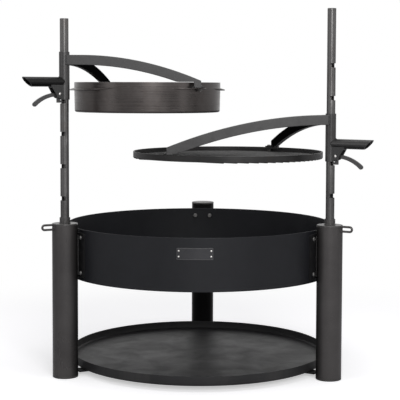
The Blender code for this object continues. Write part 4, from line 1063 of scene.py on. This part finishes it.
def make_grate():
    at = POST_AT["right"] @ shift(GRATE_REACH, 0, SIDES["right"]["base"])
    top = GRATE_TOP_UP
    ring = ring_wall(GRATE_RADIUS, GRATE_INNER, 0, top, PLATE_EDGE)
    weld_up = ROD_UP + 0.0035

    def grate(shape):
        lathe(shape, ring, BOWL_STEPS, at, True)
        for index in range(ROD_COUNT):
            across = (index - ROD_COUNT // 2) * ROD_PITCH
            end = math.sqrt(ROD_END ** 2 - across ** 2)
            line = [(end * share / 16, across, ROD_UP) for share in range(-16, 17)]
            tube(shape, line, ROD_RADIUS, 16, at)
            for sign in (-1, 1):
                edge = sign * (math.sqrt(GRATE_INNER ** 2 - across ** 2) - 0.0006)
                bead(shape, (edge, across - 0.0042, weld_up), (edge, across + 0.0042, weld_up), 0.0013, at)
        for sign in (-1, 1):
            near, far = sorted((sign * 0.262, sign * (GRATE_INNER + 0.0003)))
            slab(shape, (-0.012, near, top - LUG_THICKNESS), (0.036, far, top), PLATE_EDGE, at)

    fine("grate", grate, FINISHES["grate"], "right_carriage", "grate_steel")


# Studio
def add_camera():
    forward = Vector((math.sin(YAW) * math.cos(PITCH), math.cos(YAW) * math.cos(PITCH), -math.sin(PITCH)))
    level = Vector((math.cos(YAW), -math.sin(YAW), 0))
    rise = level.cross(forward)
    right = math.cos(ROLL) * level + math.sin(ROLL) * rise
    up = right.cross(forward)
    data = bpy.data.cameras.new("camera")
    data.sensor_width = SENSOR_WIDTH
    data.lens = FOCAL_LENGTH * SENSOR_WIDTH
    data.shift_y = LENS_SHIFT
    data.clip_end = 50
    at = CAMERA_AT + AXIS
    item = add_object("camera", data)
    item.matrix_world = Matrix((
        (right.x, up.x, -forward.x, at.x),
        (right.y, up.y, -forward.y, at.y),
        (right.z, up.z, -forward.z, at.z),
        (0, 0, 0, 1),
    ))
    scene.camera = item


def area(name, at, aim, size, power):
    data = bpy.data.lights.new(name, "AREA")
    data.shape = "RECTANGLE"
    data.size, data.size_y = size
    data.energy = power
    item = add_object(name, data)
    item.location = at
    item.rotation_euler = (Vector(aim) - Vector(at)).to_track_quat("-Z", "Y").to_euler()


def add_world():
    """Light the scene dimly, and show white to the camera and to reflections."""
    world = bpy.data.worlds.new("studio")
    scene.world = world
    world.use_nodes = True
    nodes = world.node_tree.nodes
    links = world.node_tree.links
    nodes.clear()
    out = nodes.new("ShaderNodeOutputWorld")
    mix = nodes.new("ShaderNodeMixShader")
    path = nodes.new("ShaderNodeLightPath")
    for index, color, strength in ((1, (0.93, 0.93, 1.0, 1), WORLD_LEVEL), (2, (1, 1, 1, 1), 1.0)):
        back = nodes.new("ShaderNodeBackground")
        back.inputs["Color"].default_value = color
        back.inputs["Strength"].default_value = strength
        links.new(back.outputs[0], mix.inputs[index])
    last = path.outputs["Is Camera Ray"]
    for kind in ("Is Glossy Ray", "Is Transmission Ray"):
        either = nodes.new("ShaderNodeMath")
        either.operation = "MAXIMUM"
        links.new(last, either.inputs[0])
        links.new(path.outputs[kind], either.inputs[1])
        last = either.outputs[0]
    links.new(last, mix.inputs["Fac"])
    links.new(mix.outputs[0], out.inputs["Surface"])


def add_floor():
    """Add a floor that looks nearly white and fades into the background."""
    mesh = bpy.data.meshes.new("floor")
    shape = bmesh.new()
    bmesh.ops.create_grid(shape, x_segments=1, y_segments=1, size=FLOOR_HALF_SIZE)
    shape.to_mesh(mesh)
    shape.free()
    item = add_object("floor", mesh)
    item.location = (0, 0, -0.0005)
    graph = Graph("floor")
    shader = graph.shader
    shader.inputs["Roughness"].default_value = 0.9
    shader.inputs["Specular IOR Level"].default_value = 0.0
    tint = graph.span(graph.noise(graph.place, 3.0, 3.0), 0.3, 0.7, 0, 1)
    graph.link(graph.mix(tint, (0.93, 0.925, 0.94), (0.95, 0.945, 0.96)), shader.inputs["Base Color"])
    camera_ray = graph.node("ShaderNodeLightPath").outputs["Is Camera Ray"]
    total = graph.node("ShaderNodeAddShader")
    graph.link(shader.outputs[0], total.inputs[0])
    graph.link(graph.glow(FLOOR_GLOW), total.inputs[1])
    seen = graph.mixed_shader(camera_ray, shader.outputs[0], total.outputs[0])
    length = graph.node("ShaderNodeVectorMath", operation="LENGTH")
    graph.link(graph.place, length.inputs[0])
    fade = graph.math("MULTIPLY", graph.span(length.outputs["Value"], *FLOOR_FADE, 0, 1, True), camera_ray)
    graph.link(graph.mixed_shader(fade, seen, graph.glow(1.0)),
               graph.tree.nodes["Material Output"].inputs["Surface"])
    mesh.materials.append(graph.material)


scene.view_settings.view_transform = "Standard"
add_camera()
add_world()
add_floor()
area("front", at=(0.7, -4.2, 2.0), aim=(0, 0, 0.5), size=(2.0, 1.6), power=92)
area("left", at=(-3.6, -2.6, 1.6), aim=(0, 0, 0.5), size=(1.0, 2.6), power=13)
area("right", at=(3.8, -2.4, 1.6), aim=(0, 0, 0.5), size=(1.0, 2.6), power=13)
area("top", at=(0, -0.3, 3.6), aim=(0, 0, 0.4), size=(2.5, 2.5), power=50)

make_bowl()
for leg_name, leg_angle in LEG_ANGLES.items():
    make_leg(leg_name, leg_angle)
make_tray()
for side_name in SIDES:
    make_socket(side_name, "front_" + side_name)
for side_name, side_sizes in SIDES.items():
    make_post(side_name, side_sizes)
    make_sleeve(side_name, side_sizes)
    make_arms(side_name, side_sizes)
    make_handle(side_name, side_sizes)
    make_latch(side_name, side_sizes)
make_pan()
make_grate()
